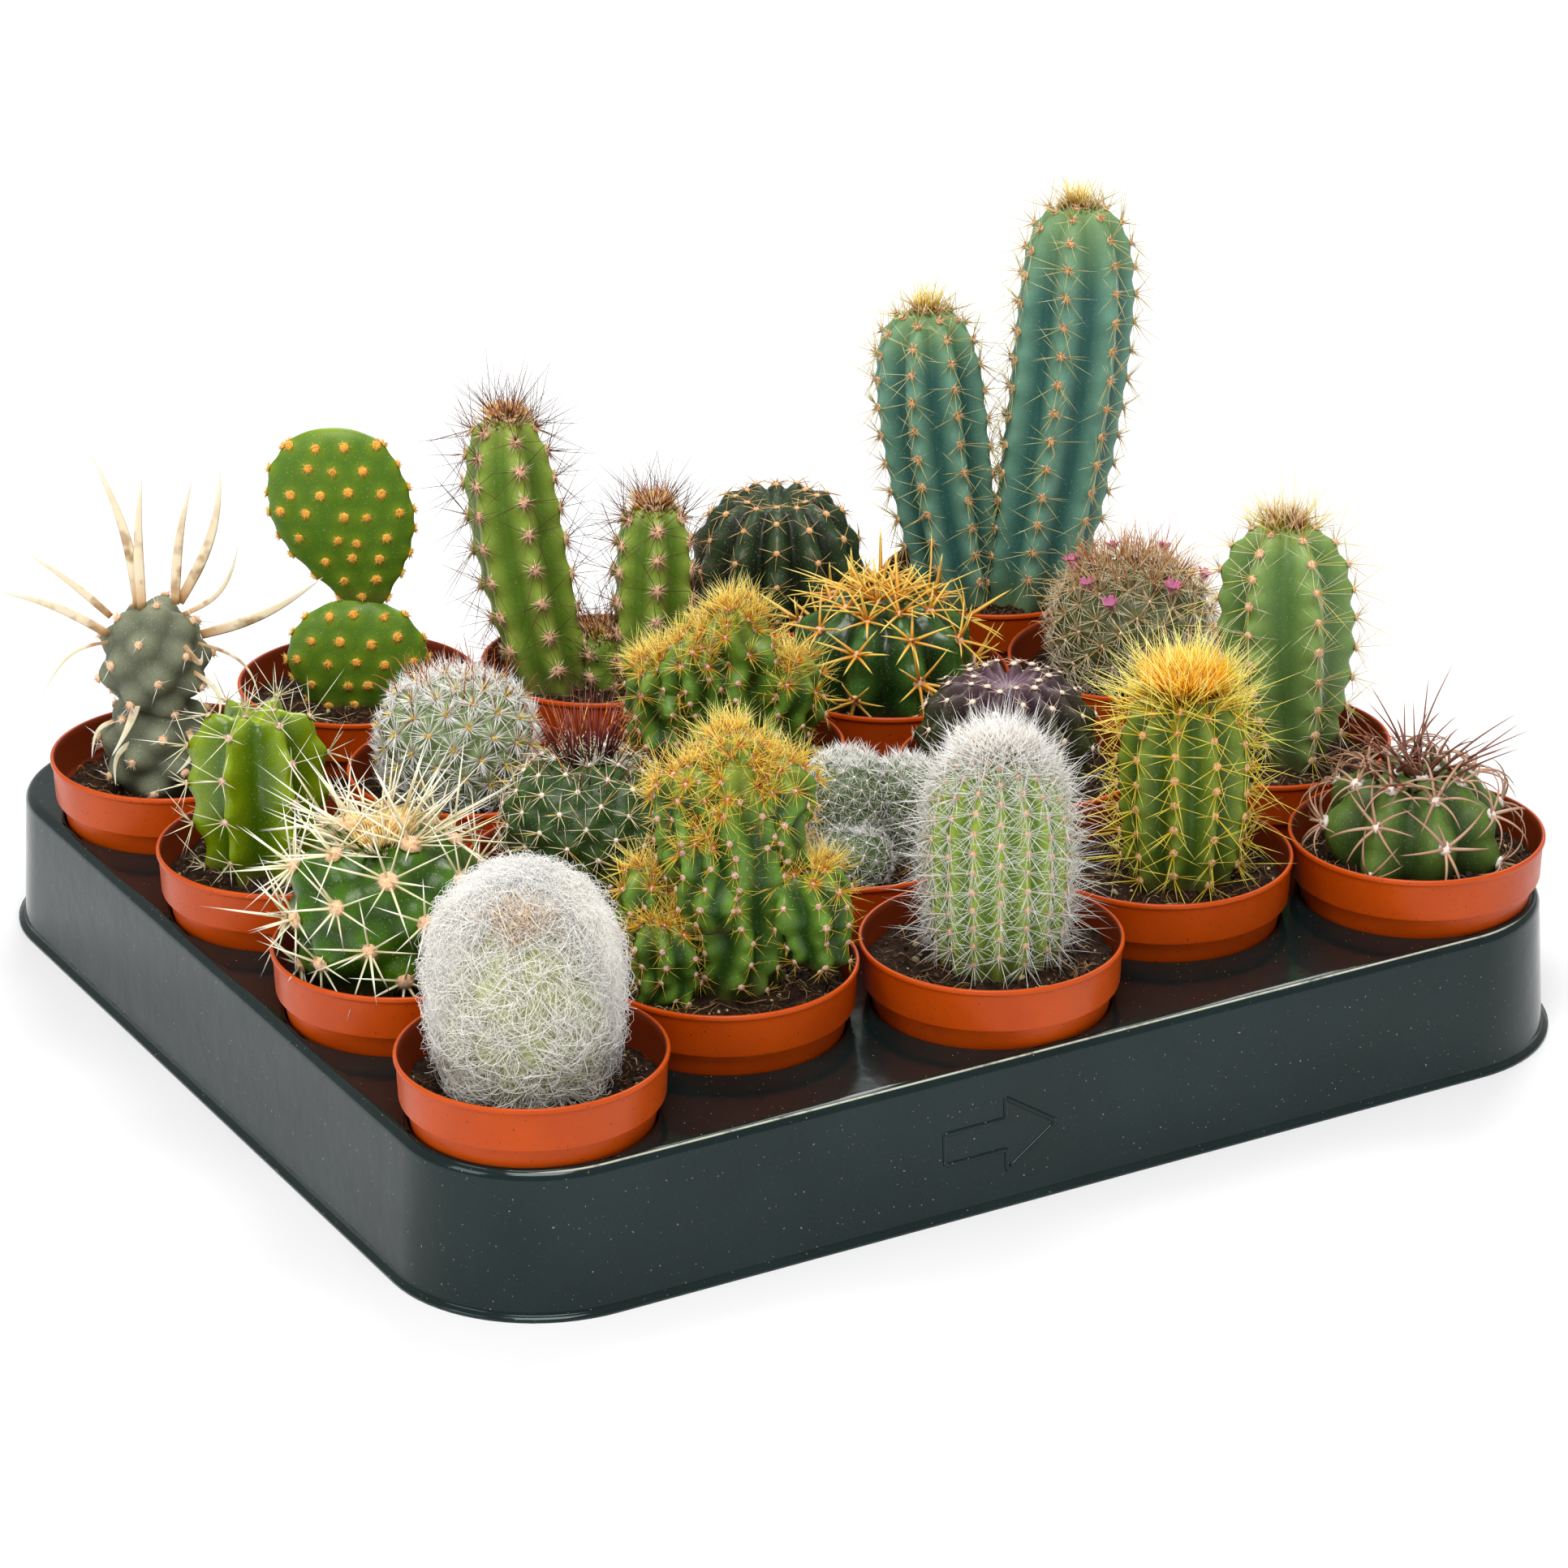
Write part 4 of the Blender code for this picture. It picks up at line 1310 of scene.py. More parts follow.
            (Tuft(BROWN, 44, 10.5, 5.5, 0.22, fan=1.5), Tuft(TAN_HAIR, 170, 3.4, 5.5, 0.34, fan=1.3),
             Tuft(ORANGE_HAIR, 90, 3.6, 4.0, 0.3, fan=0.9), Tuft(RUST, 90, 4.8, 4.0, 0.3, fan=0.9)), seed=17),
    Species("dark_globe", Flesh("globe_skin", "32482A", "141F10"),
            Lattice(RIB, 9.0, 1.2, 3.4, high=0.92),
            (Form(2.6, 19.6, 16.0, 4.0, 25.4, ribs=12, depth=0.17, crest=3.0, dimple=6.0),),
            (Spines(HONEY, 6, 4.6, 0.3, tilt=72, bend=0.15, segments=4, lift=0.1),),
            Cushion(TAN_FELT, 0.9, 0.6, hairs=10, hair=0.8), seed=18),
    Species("blue_column", Flesh("blue_skin", "70A08C", "30605A", young="78985A", young_from=0.75,
                                 foot="5A6A38", roughness=0.5, coat=0.0, mottle_mm=6.0),
            Lattice(RIB, 7.0, 0.7, 2.4),
            (Form(8.0, 13.6, 11.5, 54.0, 90.4, lean=10.2, squareness=3.2, ribs=7, depth=0.2, crest=2.3,
                  turn=-0.89),
             Form(-8.0, 12.8, 10.5, 40.0, 65.0, lean=-8.8, squareness=2.9, ribs=8, depth=0.22, crest=2.3,
                  turn=-1.9)),
            (Spines(GREEN_GOLD, 9, 7.4, 0.22, tilt=62, jitter=0.45, crown=1.2),
             Spines(TAN_HAIR, 16, 1.8, 0.3, tilt=60, jitter=0.3)),
            Cushion(TAN_FELT, 0.95, 0.4, hairs=18, hair=1.2),
            (Tuft(GREEN_GOLD, 36, 5.5, 5.5, 0.24, fan=1.9), Tuft(GOLD, 46, 7.6, 1.9, 0.34, fan=0.35),
             Tuft(HONEY, 80, 4.2, 4.5, 0.3, fan=1.1)),
            seed=19),
)


class Potted:
    """Finds one pot's place in the frame and builds what stands in it."""

    SKIN_ROWS = 60

    def __init__(self, name: str) -> None:
        """Reads the pot's place from the frame.

        Args:
            name: the plant's name.
        """
        self.name = name
        low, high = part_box("pot_" + name)
        self.centre = (low + high) / 2
        self.rim_z = high.z
        self.base_z = low.z
        self.rim_radius = (high.x - low.x) / 2
        node = "soil_" + name
        self.soil_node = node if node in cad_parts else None
        self.soil_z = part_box(node)[1].z if self.soil_node else high.z - 5.0 * MM

    def around(self, reach: np.ndarray, turn: np.ndarray, height=0.0) -> np.ndarray:
        """Places at a distance and an angle from the pot's axis, at a height."""
        x = self.centre.x + reach * np.cos(turn)
        y = self.centre.y + reach * np.sin(turn)
        return np.stack([x, y, np.broadcast_to(height, x.shape)], -1)

    def body(self, form: Form, lattice: Lattice, seed: int) -> Body:
        """A body of this pot's plant."""
        return Body(form, lattice, self.centre, self.rim_z, self.soil_z, seed)

    def grow(self, species: Species) -> list:
        """Builds a plant's skin, felt, hairs and spines.

        Args:
            species: the plant's table entry.

        Returns:
            Its bodies.
        """
        rng = np.random.default_rng(species.seed)
        skin, domes, fuzz = Surface(), Surface(), Surface()
        sets: dict = {}
        bodies = []
        for number, form in enumerate(species.forms):
            body = self.body(form, species.lattice, species.seed * 31 + number)
            bodies.append(body)
            columns = max(72, form.ribs * 12)
            rows = int(np.clip(body.length / (0.9 * MM), 24, self.SKIN_ROWS + 24))
            body.add_to(skin, columns, rows)
            if species.cushion:
                species.cushion.add_to(domes, fuzz, body, rng)
            for kind in (*species.spines, *species.tufts):
                if isinstance(kind, Tuft) and number and form.foot_z is not None:
                    continue
                kind.add_to(sets.setdefault(kind.horn, Surface()), body, rng)
        slot = self.name + "_flesh"
        show(self.name + "_skin", skin.mesh("skin"), species.flesh, slot, self.name + "_cactus")
        if domes.count:
            show(self.name + "_areoles", domes.mesh("areoles"), species.cushion.felt, slot)
        if fuzz.count:
            colour = species.cushion.felt
            hair = Horn("hair_of_" + colour.name, colour.dark, colour.light, 0.7, 0.4)
            show(self.name + "_wool", fuzz.mesh("wool"), hair, slot)
        for horn, surface in sets.items():
            if surface.count:
                show(f"{self.name}_{horn.name}", surface.mesh("spines"), horn, slot)
        return bodies


# ------------------------------------------------------------------ pots and potting mix
def turned(profile: np.ndarray, steps: int, place: Potted, inside: np.ndarray) -> Surface:
    """A ring-shaped solid: a closed outline carried round a pot's axis.

    Args:
        profile: rows of radius and height, closed, running so that faces point out.
        steps: points round the axis.
        place: the pot's place in the frame.
        inside: a value for each outline point, written as the attribute "inside".

    Returns:
        The surface.
    """
    ring = place.around(profile[:, :1], turns(steps), profile[:, 1:])
    quads = grid_quads(len(profile) + 1, steps, True) % (len(profile) * steps)
    made = Surface()
    made.add(ring.reshape(-1, 3), quads, (), inside=np.repeat(inside, steps))
    return made


@dataclass(frozen=True)
class Pot:
    """A moulded pot: lip, collar, tapered body and drain hole, in millimetres."""

    base_radius: float = 19.5
    wall: float = 0.8
    lip: float = 1.3
    lip_out: float = 0.5
    collar: float = 9.6
    collar_flare: float = 0.8
    collar_step: float = 1.4
    drain: float = 4.0
    steps: int = 112

    def build(self, place: Potted) -> None:
        """Builds the pot in its place.

        Args:
            place: the pot's place in the frame.
        """
        rim, top, base = place.rim_radius / MM, place.rim_z / MM, place.base_z / MM
        collar_z, collar_r = top - self.collar, rim - self.collar_flare
        body = collar_r - self.collar_step
        near = rim - self.lip_out
        outline = [
            (self.drain, base + self.wall), (self.drain, base), (self.base_radius - 0.5, base),
            (self.base_radius - 0.12, base + 0.15), (self.base_radius, base + 0.6),
            (body, collar_z - 0.6), (body + 0.15, collar_z - 0.15), (body + 0.5, collar_z),
            (collar_r - 0.45, collar_z), (collar_r - 0.12, collar_z + 0.1), (collar_r, collar_z + 0.5),
            (near, top - self.lip - 0.3), (near + 0.12, top - self.lip), (rim - 0.1, top - self.lip + 0.1),
            (rim, top - self.lip + 0.35), (rim, top - 0.4), (rim - 0.13, top - 0.12), (rim - 0.45, top),
            (rim - 0.75, top - 0.1), (rim - 0.95, top - 0.45), (rim - 1.15, top - 1.6),
            (collar_r - self.wall, collar_z + 1.6), (collar_r - self.wall - 0.4, collar_z + 0.8),
            (body - self.wall, collar_z - 0.2), (self.base_radius - self.wall, base + self.wall + 0.6),
            (self.base_radius - self.wall - 0.6, base + self.wall),
        ]
        profile = np.array(outline) * MM
        # painted shade: the interior faces, from outline point 18 on, get 1 and are coloured darker
        inner_shade = np.zeros(len(profile))
        inner_shade[18:] = 1.0
        made = turned(profile, self.steps, place, inner_shade)
        piece = show("pot_of_" + place.name, made.mesh("pot"), PotPlastic(),
                     "terracotta_pot_plastic", "pot_" + place.name)
        piece.data.set_sharp_from_angle(angle=math.radians(50))


@dataclass(frozen=True)
class Filling:
    """Potting mix: an uneven top with crumbs and fibres, down to the pot's floor.

    floor: height of its underside over the pot's, and narrowing: how much smaller than
    the rim it is there, in millimetres.
    """

    floor: float = 1.2
    narrowing: float = 9.6
    rings: int = 26
    steps: int = 96
    crumbs: int = 420
    fibres: int = 130

    def build(self, place: Potted, number: int) -> None:
        """Builds the mix of one pot.

        The top's height is the frame's plus two ripples of 6 mm and 2 mm and a slight
        fall towards the wall.

        Args:
            place: the pot's place in the frame.
            number: the pot's number, which picks its unevenness.
        """
        rng = np.random.default_rng(900 + number)
        wall = place.rim_radius - 1.6 * MM - (place.rim_z - place.soil_z) * 0.09
        r = np.linspace(0, 1, self.rings + 1)[1:] * wall
        turn = turns(self.steps)
        grid_r, grid_t = np.meshgrid(r[::-1], turn, indexing="ij")
        z = self.level(place.around(grid_r, grid_t), place, number, wall, grid_r)
        top = place.around(grid_r, grid_t, z)
        low_z = place.base_z + self.floor * MM
        low = place.around((place.rim_radius - self.narrowing * MM) * np.ones(self.steps), turn, low_z)
        points = np.concatenate([low[None], top]).reshape(-1, 3)
        rows = self.rings + 1
        count = rows * self.steps
        ends = [fan(count - self.steps, self.steps, count), fan(0, self.steps, count + 1, True)]
        middle = place.around(np.zeros(2), np.zeros(2), np.array([z[-1].mean(), low_z]))
        mix = Surface()
        mix.add(np.concatenate([points, middle]), grid_quads(rows, self.steps, True), np.concatenate(ends))
        nodes = [place.soil_node] if place.soil_node else []
        show("mix_of_" + place.name, mix.mesh("mix"), Peat("damp_peat"), "potting_mix", *nodes)
        self.add_crumbs(place, number, wall, rng)
        self.add_fibres(place, number, wall, rng)

    def level(self, flat: np.ndarray, place: Potted, number: int, wall: float,
              reach: np.ndarray) -> np.ndarray:
        """Height of the mix at places given without height."""
        rough = ripple(flat, 7.0, 40 + number) * 0.8 + ripple(flat, 2.2, 80 + number) * 0.45
        fall = -1.2 * (reach / wall) ** 4
        return place.soil_z + (rough + fall) * MM

    def add_crumbs(self, place: Potted, number: int, wall: float, rng: Generator) -> None:
        """Scatters crumbs of peat, bark and grit on the mix."""
        count = self.crumbs
        reach = np.sqrt(rng.random(count)) * (wall - 0.8 * MM)
        turn = rng.uniform(0, TURN, count)
        height = self.level(place.around(reach, turn), place, number, wall, reach) + 0.1 * MM
        spot = place.around(reach, turn, height)
        size = MM * rng.uniform(0.2, 0.55, count) * (1 + 1.2 * (rng.random(count) > 0.93))
        axes = unit(rng.normal(size=(count, 3, 3)))
        axes[:, 1] = unit(np.cross(axes[:, 0], axes[:, 2]))
        axes[:, 2] = np.cross(axes[:, 0], axes[:, 1])
        axes = axes * size[:, None, None] * rng.uniform(0.5, 1.3, (count, 3, 1))
        crumbs = Surface()
        add_copies(crumbs, dome_template(5, 2), spot, axes, rng.random(count))
        litter = Litter("crumbs", "170E08", "4A3420", "C9B48C")
        show("crumbs_of_" + place.name, crumbs.mesh("crumbs"), litter, "potting_mix")

    def add_fibres(self, place: Potted, number: int, wall: float, rng: Generator) -> None:
        """Lays root fibres on the mix as bent strands."""
        count, steps = self.fibres, 6
        reach = np.sqrt(rng.random(count)) * (wall - 2.5 * MM)
        turn = rng.uniform(0, TURN, count)
        heading = rng.uniform(0, TURN, count)
        length = MM * rng.uniform(2.5, 9.0, count)
        t = np.linspace(-0.5, 0.5, steps)
        bend = rng.normal(0, 1.0, count)
        angle = heading[:, None] + bend[:, None] * t[None]
        x = place.centre.x + (reach * np.cos(turn))[:, None] + length[:, None] * t * np.cos(angle)
        y = place.centre.y + (reach * np.sin(turn))[:, None] + length[:, None] * t * np.sin(angle)
        far = np.hypot(x - place.centre.x, y - place.centre.y)
        shrink = np.minimum(1.0, (wall - 0.3 * MM) / np.maximum(far, 1e-6))
        x = place.centre.x + (x - place.centre.x) * shrink
        y = place.centre.y + (y - place.centre.y) * shrink
        flat = np.stack([x, y, np.zeros_like(x)], -1)
        rise = MM * (0.25 + 1.6 * rng.random((count, 1)) ** 3 * (1 - (2 * t) ** 2))
        z = self.level(flat, place, number, wall, np.minimum(far, wall)) + rise
        paths = np.stack([x, y, z], -1)
        radii = np.repeat(MM * rng.uniform(0.06, 0.16, (count, 1)), steps, axis=1)
        fibres = Surface()
        add_strands(fibres, paths, radii, 3, rng.random(count))
        litter = Litter("fibres", "4A2E18", "9A7446", "CDB78C")
        show("fibres_of_" + place.name, fibres.mesh("fibres"), litter, "potting_mix")


# ------------------------------------------------------------------ tray
@dataclass(frozen=True)
class Tray:
    """The carry tray's own sizes, in millimetres; its outline and deck come from the frame.

    arrow: the moulded arrow's corners, along the side and above the floor.
    """

    sheet: float = 0.8
    flange: float = 1.5
    draft: float = 1.6
    corner: float = 30.0
    edge_round: float = 2.2
    mouth_round: float = 0.5
    cup_top: float = 25.05
    cup_base: float = 20.0
    corner_steps: int = 18
    cup_steps: int = 96
    arrow: tuple = ((-28, 12), (-13.5, 12), (-13.5, 7.4), (-1.5, 15.4), (-13.5, 23.4), (-13.5, 18.8),
                    (-28, 18.8))
    bead_width: float = 0.55
    bead_rise: float = 0.45

    def outline(self, half_x: float, half_y: float) -> tuple[np.ndarray, np.ndarray]:
        """The deck's outline and its outward directions.

        Args:
            half_x: half of the deck's length.
            half_y: half of the deck's width.

        Returns:
            Points and directions in the XY plane, anticlockwise: an arc at each corner
            and evenly spaced points along each straight side.
        """
        points, ways = [], []
        radius = self.corner * MM
        corners = ((1, 1, 0), (-1, 1, 1), (-1, -1, 2), (1, -1, 3))
        for sx, sy, quarter in corners:
            angle = (quarter + np.linspace(0, 1, self.corner_steps + 1)) * math.pi / 2
            way = np.stack([np.cos(angle), np.sin(angle)], -1)
            middle = np.array([sx * (half_x - radius), sy * (half_y - radius)])
            points.append(middle + way * radius)
            ways.append(way)
            side = np.array([np.cos(angle[-1]), np.sin(angle[-1])])
            run = (half_y if quarter % 2 else half_x) - radius
            steps = int(2 * run / (6 * MM))
            share = np.arange(1, steps) / steps
            along = np.array([-side[1], side[0]])
            points.append(points[-1][-1] + along * (share * 2 * run)[:, None])
            ways.append(np.repeat(side[None], steps - 1, axis=0))
        return np.concatenate(points), np.concatenate(ways)

    def build(self, places: list) -> None:
        """Builds the sheet: skirt, deck and cups share their edges and get one thickness.

        Args:
            places: every pot's place in the frame.
        """
        low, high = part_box("tray")
        deck, foot = high.z, self.sheet * MM
        half_x = (high.x - low.x) / 2 - (self.flange + self.draft) * MM
        half_y = (high.y - low.y) / 2 - (self.flange + self.draft) * MM
        line, way = self.outline(half_x, half_y)
        skirt, cup, count = self.skirt(deck, foot), self.cup(deck, foot), self.cup_steps
        rows = np.array([np.column_stack([line + way * out, np.full(len(line), z)])
                         for out, z in skirt[::-1]])
        # painted highlight: the middle rows of the top edge's rounding, on the front side only, are marked
        # for a pale band
        edge_highlight = np.zeros((len(skirt), len(line)))
        edge_highlight[-5:-2] = np.array([[0.1], [1.0], [0.1]]) * np.clip(-way[:, 1], 0, 1) ** 2
        made = Surface()
        made.add(rows.reshape(-1, 3), grid_quads(len(skirt), len(line), True), edge=edge_highlight.ravel())
        mouths = []
        for place in places:
            ring = place.around(cup[:, :1], turns(count), cup[:, 1:])
            points = np.concatenate([ring.reshape(-1, 3), [[place.centre.x, place.centre.y, foot]]])
            made.add(points, grid_quads(len(cup), count, True)[:, ::-1], fan(0, count, len(cup) * count),
                     edge=0.0)
            mouths.append(ring[-1][:, :2])
        made.add(*self.deck_patch(rows[-1][:, :2], mouths, deck), edge=0.0)
        piece = show("carry_tray", self.joined(made), TraySheet(), "black_tray_plastic", "tray")
        shell = piece.modifiers.new("sheet", "SOLIDIFY")
        shell.thickness = self.sheet * MM
        shell.offset = -1.0
        shell.use_even_offset = True
        self.add_arrow()

    def skirt(self, deck: float, foot: float) -> list:
        """The skirt's section from the deck to its flange: distance out and height."""
        rounded, draft = self.edge_round * MM, self.draft * MM
        rows = [(-rounded - 0.4 * MM, deck)]
        rows += [(-rounded + rounded * math.sin(a), deck - rounded + rounded * math.cos(a))
                 for a in np.linspace(0, math.pi / 2, 7)]
        rows += [(draft * share, deck - rounded - (deck - rounded - foot) * share)
                 for share in (0.3, 0.6, 0.85, 0.96)]
        return rows + [(draft + 0.1 * MM, foot + 0.35 * MM), (draft + 0.35 * MM, foot + 0.08 * MM),
                       (draft + self.flange * MM, foot)]

    def cup(self, deck: float, foot: float) -> np.ndarray:
        """A cup's section from its floor to its mouth: radius and height."""
        top, base, curve = self.cup_top * MM, self.cup_base * MM, self.mouth_round * MM
        rows = [(0.5 * MM, foot), (base * 0.5, foot), (base - 0.8 * MM, foot),
                (base - 0.25 * MM, foot + 0.25 * MM), (base, foot + 0.8 * MM)]
        rows += [(base + (top - base) * s, foot + (deck - foot) * s) for s in (0.3, 0.6, 0.9)]
        rows += [(top + curve * (1 - math.cos(a)), deck - curve * (1 - math.sin(a)))
                 for a in np.linspace(0, math.pi / 2, 4)]
        return np.array(rows + [(top + curve + 0.4 * MM, deck)])

    def joined(self, made: Surface) -> Mesh:
        """The tray's mesh, with its patches joined at their edges and its deck facing up."""
        sheet = made.mesh("tray")
        bm = bmesh.new()
        bm.from_mesh(sheet)
        bmesh.ops.remove_doubles(bm, verts=bm.verts, dist=0.01 * MM)
        bmesh.ops.recalc_face_normals(bm, faces=bm.faces)
        probe = max(bm.faces, key=lambda f: f.calc_center_median().z * 1e3 + f.calc_area())
        if probe.normal.z < 0:
            bmesh.ops.reverse_faces(bm, faces=bm.faces)
        bm.to_mesh(sheet)
        bm.free()
        sheet.shade_smooth()
        return sheet

    def add_arrow(self) -> None:
        """Adds the moulded arrow on the long side: a bead round its outline."""
        low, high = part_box("tray")
        corners = np.array(self.arrow)
        ahead = np.roll(corners, -1, axis=0)
        share = np.linspace(0.04, 0.96, 12)
        line = corners[:, None, :] * (1 - share[:, None]) + ahead[:, None, :] * share[:, None]
        line = line.reshape(-1, 2)
        wall = low.y / MM + self.flange + self.draft * line[:, 1] / (high.z / MM - self.edge_round)
        path = np.column_stack([line[:, 0], wall, line[:, 1]]) * MM
        along = unit(np.roll(path, -1, axis=0) - np.roll(path, 1, axis=0))
        out = np.array([0.0, -1.0, 0.0])
        side = unit(np.cross(along, out))
        turn = turns(8)
        ring = (path[:, None, :] + self.bead_width * MM * np.cos(turn)[None, :, None] * side[:, None, :]
                + self.bead_rise * MM * np.sin(turn)[None, :, None] * out)
        count = len(path)
        made = Surface()
        made.add(ring.reshape(-1, 3), grid_quads(count + 1, 8, True)[:, ::-1] % (count * 8))
        show("moulded_arrow", made.mesh("arrow"), TraySheet(), "black_tray_plastic")

    def deck_patch(self, line: np.ndarray, mouths: list, deck: float) -> tuple:
        """The flat deck between its outline and the cups' mouths.

        Args:
            line: the outline's points in the XY plane.
            mouths: each cup mouth's points in the XY plane.
            deck: the deck's height.

        Returns:
            Points, no quads, and the triangles whose middles lie outside every mouth.
        """
        loops = [line, *mouths]
        flat = np.concatenate(loops)
        edges, start = [], 0
        for loop in loops:
            n = len(loop)
            edges += [(start + i, start + (i + 1) % n) for i in range(n)]
            start += n
        found = delaunay_2d_cdt([Vector(p) for p in flat], edges, [], 1, 1e-7)
        points = np.array([tuple(v) for v in found[0]])
        tris = np.array([t for t in found[2] if len(t) == 3])
        middle = points[tris].mean(1)
        keep = np.ones(len(tris), bool)
        for mouth in mouths:
            centre = mouth.mean(0)
            radius = np.linalg.norm(mouth[0] - centre)
            keep &= np.linalg.norm(middle - centre, axis=1) > radius * 0.999
        solid = np.column_stack([points, np.full(len(points), deck)])
        return solid, (), tris[keep]


# ------------------------------------------------------------------ studio
@dataclass(frozen=True)
class Studio:
    """White floor, soft lamps and the camera, in metres, degrees and watts.

    lamps: each one's name, place, side and power.
    """

    lens: float = 135.7
    target: tuple = (0.01840, 0.02485, 0.030)
    distance: float = 1.32833
    heading: float = 29.23
    height: float = 23.547
    roll: float = -0.356
    floor_half: float = 4.0
    lamps: tuple = (("key", (-0.35, -0.6, 1.4), 0.8, 18.5), ("left", (-1.5, -0.2, 0.9), 0.7, 7.0),
                    ("back", (0.8, 0.95, 1.35), 0.9, 19.0))

    def build(self) -> None:
        """Makes the floor, the world, the lamps and the camera."""
        self.add_floor()
        self.add_world()
        for name, place, size, power in self.lamps:
            self.add_lamp(name, place, size, power)
        self.add_camera()

    def add_floor(self) -> None:
        """A wide white floor."""
        surface = Surface()
        corners = np.array([[-1, -1, 0], [1, -1, 0], [1, 1, 0], [-1, 1, 0]])
        surface.add(corners * self.floor_half, [[0, 1, 2, 3]])
        mesh = surface.mesh("floor")
        material, _, shader = start_material("white_paper_floor")
        shader.inputs["Base Color"].default_value = linear("E4E6EA")
        shader.inputs["Roughness"].default_value = 0.9
        mesh.materials.append(material)
        floor = bpy.data.objects.new("floor", mesh)
        bpy.context.scene.collection.objects.link(floor)

    def add_world(self) -> None:
        """An even white sky."""
        world = bpy.data.worlds.new("studio")
        world.use_nodes = True
        back = world.node_tree.nodes["Background"]
        back.inputs["Color"].default_value = (1.0, 0.992, 0.975, 1.0)
        back.inputs["Strength"].default_value = 0.52
        bpy.context.scene.world = world
        bpy.context.scene.view_settings.view_transform = "Standard"

    def add_lamp(self, name: str, place: tuple, size: float, power: float) -> None:
        """One square softbox that faces the middle of the tray.

        Args:
            name: the lamp's name.
            place: where it hangs, in metres.
            size: the length of its side.
            power: watts.
        """
        data = bpy.data.lights.new(name, "AREA")
        data.size = size
        data.energy = power
        data.color = (1.0, 0.975, 0.94)
        lamp = bpy.data.objects.new(name, data)
        lamp.location = place
        lamp.rotation_euler = (Vector((0, 0, 0.04)) - Vector(place)).to_track_quat("-Z", "Y").to_euler()
        bpy.context.scene.collection.objects.link(lamp)

    def add_camera(self) -> None:
        """The camera, turned about its own axis by the small roll."""
        turn, rise = math.radians(self.heading), math.radians(self.height)
        ahead = Vector((math.sin(turn) * math.cos(rise), math.cos(turn) * math.cos(rise), -math.sin(rise)))
        right = Vector((math.cos(turn), -math.sin(turn), 0.0))
        above = right.cross(ahead)
        lean = math.radians(self.roll)
        right, above = (right * math.cos(lean) + above * math.sin(lean),
                        above * math.cos(lean) - right * math.sin(lean))
        data = bpy.data.cameras.new("camera")
        data.lens = self.lens
        data.sensor_width = 36.0
        camera = bpy.data.objects.new("camera", data)
        basis = Matrix((right, above, -ahead)).transposed().to_4x4()
        basis.translation = Vector(self.target) - ahead * self.distance
        camera.matrix_world = basis
        bpy.context.scene.collection.objects.link(camera)
        bpy.context.scene.camera = camera


